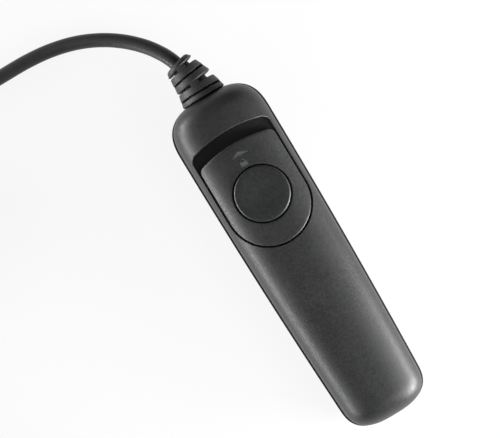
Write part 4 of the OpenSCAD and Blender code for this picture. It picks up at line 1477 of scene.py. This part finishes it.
# %% Grip and nose
DIMPLE_D = 1.1 * MM
DIMPLE_X = 2.2 * MM
DIMPLE_IN = 3.4 * MM
DIMPLE_DEPTH = 0.4 * MM
DIMPLE_SIDES = 32
SOCKET_DEPTH = 4 * MM
NOSE_STEP = 0.5 * MM
NOSE_NECK = Vector((9.6, 5.2, 1.2)) * MM
NECK_CORNER = 0.8 * MM


def plug_grip():
    """The grip with two dimples, and a socket that takes the metal shell."""
    body = soft_block(GRIP, 0, GRIP_CORNER, GRIP_END, TAPER, TAPER_LEN)
    grip = piece_from(moved(body, along_plug(grip_y)), "plug_grip_body", plug_plastic)
    dimple_z = PLUG_Z + GRIP.y / 2 - DIMPLE_DEPTH
    dimples = [
        post(PLUG_X + x, y, DIMPLE_D, dimple_z, PLUG_Z + GRIP.y, DIMPLE_SIDES)
        for x, y in pair(-DIMPLE_X, grip_y - DIMPLE_IN)
    ]
    socket = shell_block(LOOSE - 2 * SHELL_T, 0, SOCKET_DEPTH + NOSE.z, SHELL_HOLE_CORNER)
    return carve(grip, cuts(both(*dimples), moved(socket, along_plug(nose_y + SOCKET_DEPTH))))


def plug_nose():
    """A short block with a narrower neck behind it, which enters the grip."""
    at_nose = along_plug(nose_y)
    body = soft_block(NOSE - Vector((0, 0, NOSE_STEP)), NOSE_STEP, NOSE_CORNER, NOSE_END)
    nose_piece = piece_from(moved(body, at_nose), "plug_nose_body", plug_plastic)
    neck = soft_block(NOSE_NECK, 0, NECK_CORNER)
    hole = shell_block(LOOSE, -PAST, NOSE.z + PAST, SHELL_CORNER)
    return carve(nose_piece, joins(moved(neck, at_nose)) + cuts(moved(hole, at_nose)))


# %% Collar and metal shell
COLLAR_D = 7 * MM
COLLAR_CORE_R = 2.9 * MM
COLLAR_RINGS = 3
COLLAR_EDGE = 0.35 * MM
COLLAR_GROWTH = 0.15 * MM
GROOVE_SHARE = 0.35
COLLAR_STEPS = 5


def plug_collar():
    """A short tube with three ribs, each a little wider than the one before."""
    step = COLLAR_LEN / COLLAR_RINGS
    section = [(0, 0), (COLLAR_CORE_R, 0)]
    for k in range(COLLAR_RINGS):
        wide = (COLLAR_D - COLLAR_GROWTH * (COLLAR_RINGS - 1 - k)) / 2 - COLLAR_EDGE
        low, high = (k + GROOVE_SHARE) * step, (k + 1) * step
        section.append((COLLAR_CORE_R, low))
        section += arc_points(wide, low + COLLAR_EDGE, COLLAR_EDGE, -QUARTER, 0, COLLAR_STEPS)
        section += arc_points(wide, high - COLLAR_EDGE, COLLAR_EDGE, 0, QUARTER, COLLAR_STEPS)
    section.append((0, COLLAR_LEN))
    body = moved(spun(section, RING_SIDES), along_plug(PLUG_Y))
    return piece_from(body, "plug_collar_ribs", relief_rubber)


def plug_shell():
    """A thin tube with rounded corners, from the grip through the nose."""
    long = NOSE.z + SHELL.z
    body = shell_block(0, 0, long - 2 * TOUCH, SHELL_CORNER)
    tube = piece_from(moved(body, along_plug(nose_y - TOUCH)), "plug_shell_tube", shell_steel)
    inside = shell_block(-2 * SHELL_T, -PAST, long + PAST, SHELL_HOLE_CORNER)
    return carve(tube, cuts(moved(inside, along_plug(nose_y))))


for made, node, slot in (
    (plug_grip(), "plug_grip", "plug_plastic"),
    (plug_nose(), "plug_nose", "plug_plastic"),
    (plug_collar(), "plug_collar", "relief_rubber"),
    (plug_shell(), "plug_shell", "shell_steel"),
):
    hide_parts(node)
    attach(made, "casing")
    print(made.name, len(made.data.polygons), "faces")

# %% [markdown]
# ## Spring and contacts
# Inside, the button stands on a small conical spring and presses three bronze leaves
# together. The spring is a circle that is spun and lifted at once, then narrowed towards
# its top. On the real switch the spring and the two leaves that move give way when the
# button goes down; here each only gets a mesh of its own.

# %% Coil the spring
SPRING_WIRE = 0.4 * MM
SPRING_TURNS = 3
SPRING_LOW_R = 3.9 * MM
SPRING_HIGH_R = 3.1 * MM
SPRING_STEPS = 32
WIRE_SIDES = 10


def return_spring():
    """A round wire wound into a cone, as one closed tube."""
    steps = SPRING_TURNS * SPRING_STEPS
    low, high = WEB_TOP + SPRING_WIRE / 2, cap_z - SPRING_WIRE / 2
    bm = bmesh.new()
    bmesh.ops.create_circle(bm, segments=WIRE_SIDES, radius=SPRING_WIRE / 2)
    moved(bm, Matrix.Rotation(QUARTER, 4, "X"))
    moved(bm, Matrix.Translation((SPRING_LOW_R - SPRING_WIRE / 2, 0, low)))
    bmesh.ops.spin(
        bm, geom=[*bm.verts, *bm.edges], cent=(0, 0, 0), axis=(0, 0, 1),
        dvec=(0, 0, (high - low) / steps), angle=math.tau * SPRING_TURNS, steps=steps,
        use_merge=False,
    )
    for vert in bm.verts:
        share = min(max((vert.co.z - low) / (high - low), 0), 1)
        flat = Vector(vert.co.xy)
        flat -= flat.normalized() * (SPRING_LOW_R - SPRING_HIGH_R) * share
        vert.co.xy = flat + button_at
    return piece_from(closed(bm), "return_spring_coil", spring_steel)


spring = return_spring()
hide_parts("return_spring")
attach(spring, "slide")
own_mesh(spring)
print("return spring:", len(spring.data.polygons), "faces")

# %% Copy the moving leaves
LEVEL = math.radians(1)


def leaf_from(node, name):
    """A merged copy of a CAD leaf, with its flat faces joined and shaded smooth."""
    bm = bmesh.new()
    bm.from_mesh(frame["nodes"][node].data)
    bmesh.ops.remove_doubles(bm, verts=bm.verts, dist=MERGE)
    bmesh.ops.dissolve_limit(
        bm, angle_limit=LEVEL, verts=bm.verts, edges=bm.edges,
        use_dissolve_boundaries=False,
    )
    return piece_from(bm, name, leaf_bronze)


for node, keep in (("common_contact", 0.33), ("focus_contact", 0.73)):
    leaf = leaf_from(node, node.replace("contact", "leaf"))
    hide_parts(node)
    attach(leaf, "casing")
    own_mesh(leaf)
    print(leaf.name, len(leaf.data.polygons), "faces")

# %% [markdown]
# ## Pieces that stay as they are
# The small inner pieces, the screws and the plug's tongue have the right shape in the
# solids, so they only need their finish.

# %% Give each its finish
finish_of = {
    "cover_screws": screw_steel, "clamp_screws": screw_steel, "contact_base": base_plastic,
    "shutter_contact": leaf_bronze, "lower_spacer": laminate, "upper_spacer": laminate,
    "clamp_plate": base_plastic, "shutter_wire": wire_red, "focus_wire": wire_white,
    "common_wire": wire_black, "solder_joints": solder, "cord_inner_end": cord_jacket,
    "plug_insulator": base_plastic, "plug_contacts": pin_gold,
}
for name, finish in finish_of.items():
    node = frame["nodes"][name]
    if not node.material_slots:
        node.data.materials.append(finish)
    for place in node.material_slots:
        place.material = finish
print("kept as they are:", len(finish_of), "nodes")

# %% [markdown]
# ## Floor and light
# The handset lies on a white floor under soft light. Two low strips, at the left and
# towards the cord, make the highlight along the shoulder. A third strip lights the other
# side from nearer by, so its highlight grows towards the foot. Higher and weaker lamps make
# the highlights fade upwards. The top stays dark, because nothing bright hangs over it. The
# floor looks white to the camera and in reflections by a share of plain white, and the rest
# keeps the shadow.

# %% Floor
FLOOR_SIZE = 3.0
FLOOR_SHARE = 0.88
PAPER = (0.86, 0.86, 0.86, 1)
WHITE = (1, 1, 1, 1)


def white_floor():
    """Paper that looks white to the camera and in reflections, and takes the shadow."""
    finish = Finish("white_floor")
    path = finish.add("ShaderNodeLightPath", {}, {})
    seen = path.out("Is Camera Ray") + path.out("Is Glossy Ray") + path.out("Is Transmission Ray")
    paper = finish.add("ShaderNodeBsdfDiffuse", {}, {"Color": PAPER})
    glow = finish.add("ShaderNodeEmission", {}, {"Color": WHITE, "Strength": 1.0})
    share = finish.add(
        "ShaderNodeMath", {"operation": "MULTIPLY", "use_clamp": True}, {0: seen, 1: FLOOR_SHARE}
    )
    return finish.show(finish.add("ShaderNodeMixShader", {}, {0: share, 1: paper, 2: glow}))


bm = bmesh.new()
bmesh.ops.create_grid(bm, x_segments=1, y_segments=1, size=FLOOR_SIZE / 2)
floor = piece_from(bm, "floor", white_floor())
print("floor:", FLOOR_SIZE, "m wide")

# %% World and lamps
LAMP_AIM = Vector((0, 0, 0.01))
LAMP_FAR = 0.38
LAMP_NEAR = 0.22
ROOM_LIGHT = 0.15


def soft_box(name, around, up, size, power, far=LAMP_FAR):
    """A rectangular lamp at two angles from the handset, which it faces."""
    a, b = math.radians(around), math.radians(up)
    out = Vector((math.cos(b) * math.cos(a), math.cos(b) * math.sin(a), math.sin(b)))
    lamp = bpy.data.lights.new(name, "AREA")
    lamp.shape = "RECTANGLE"
    lamp.size, lamp.size_y = size
    lamp.energy = power
    stand = placed(name, lamp)
    stand.location = LAMP_AIM + far * out
    stand.rotation_euler = (-out).to_track_quat("-Z", "Y").to_euler()


world = bpy.data.worlds.new("studio")
bpy.context.scene.world = world
world.use_nodes = True
background = world.node_tree.nodes["Background"]
background.inputs["Color"].default_value = WHITE
background.inputs["Strength"].default_value = ROOM_LIGHT
soft_box("left_strip", 165, 7, (0.55, 0.09), 2.7)
soft_box("head_strip", 140, 8, (0.3, 0.09), 0.6)
soft_box("left_high", 170, 36, (0.4, 0.14), 0.13)
soft_box("right_strip", -40, 11, (0.17, 0.08), 1.52, LAMP_NEAR)
soft_box("right_high", -48, 42, (0.15, 0.08), 0.24, LAMP_NEAR)
soft_box("right_top", -55, 60, (0.25, 0.16), 0.13)
print("lamps:", len(bpy.data.lights))
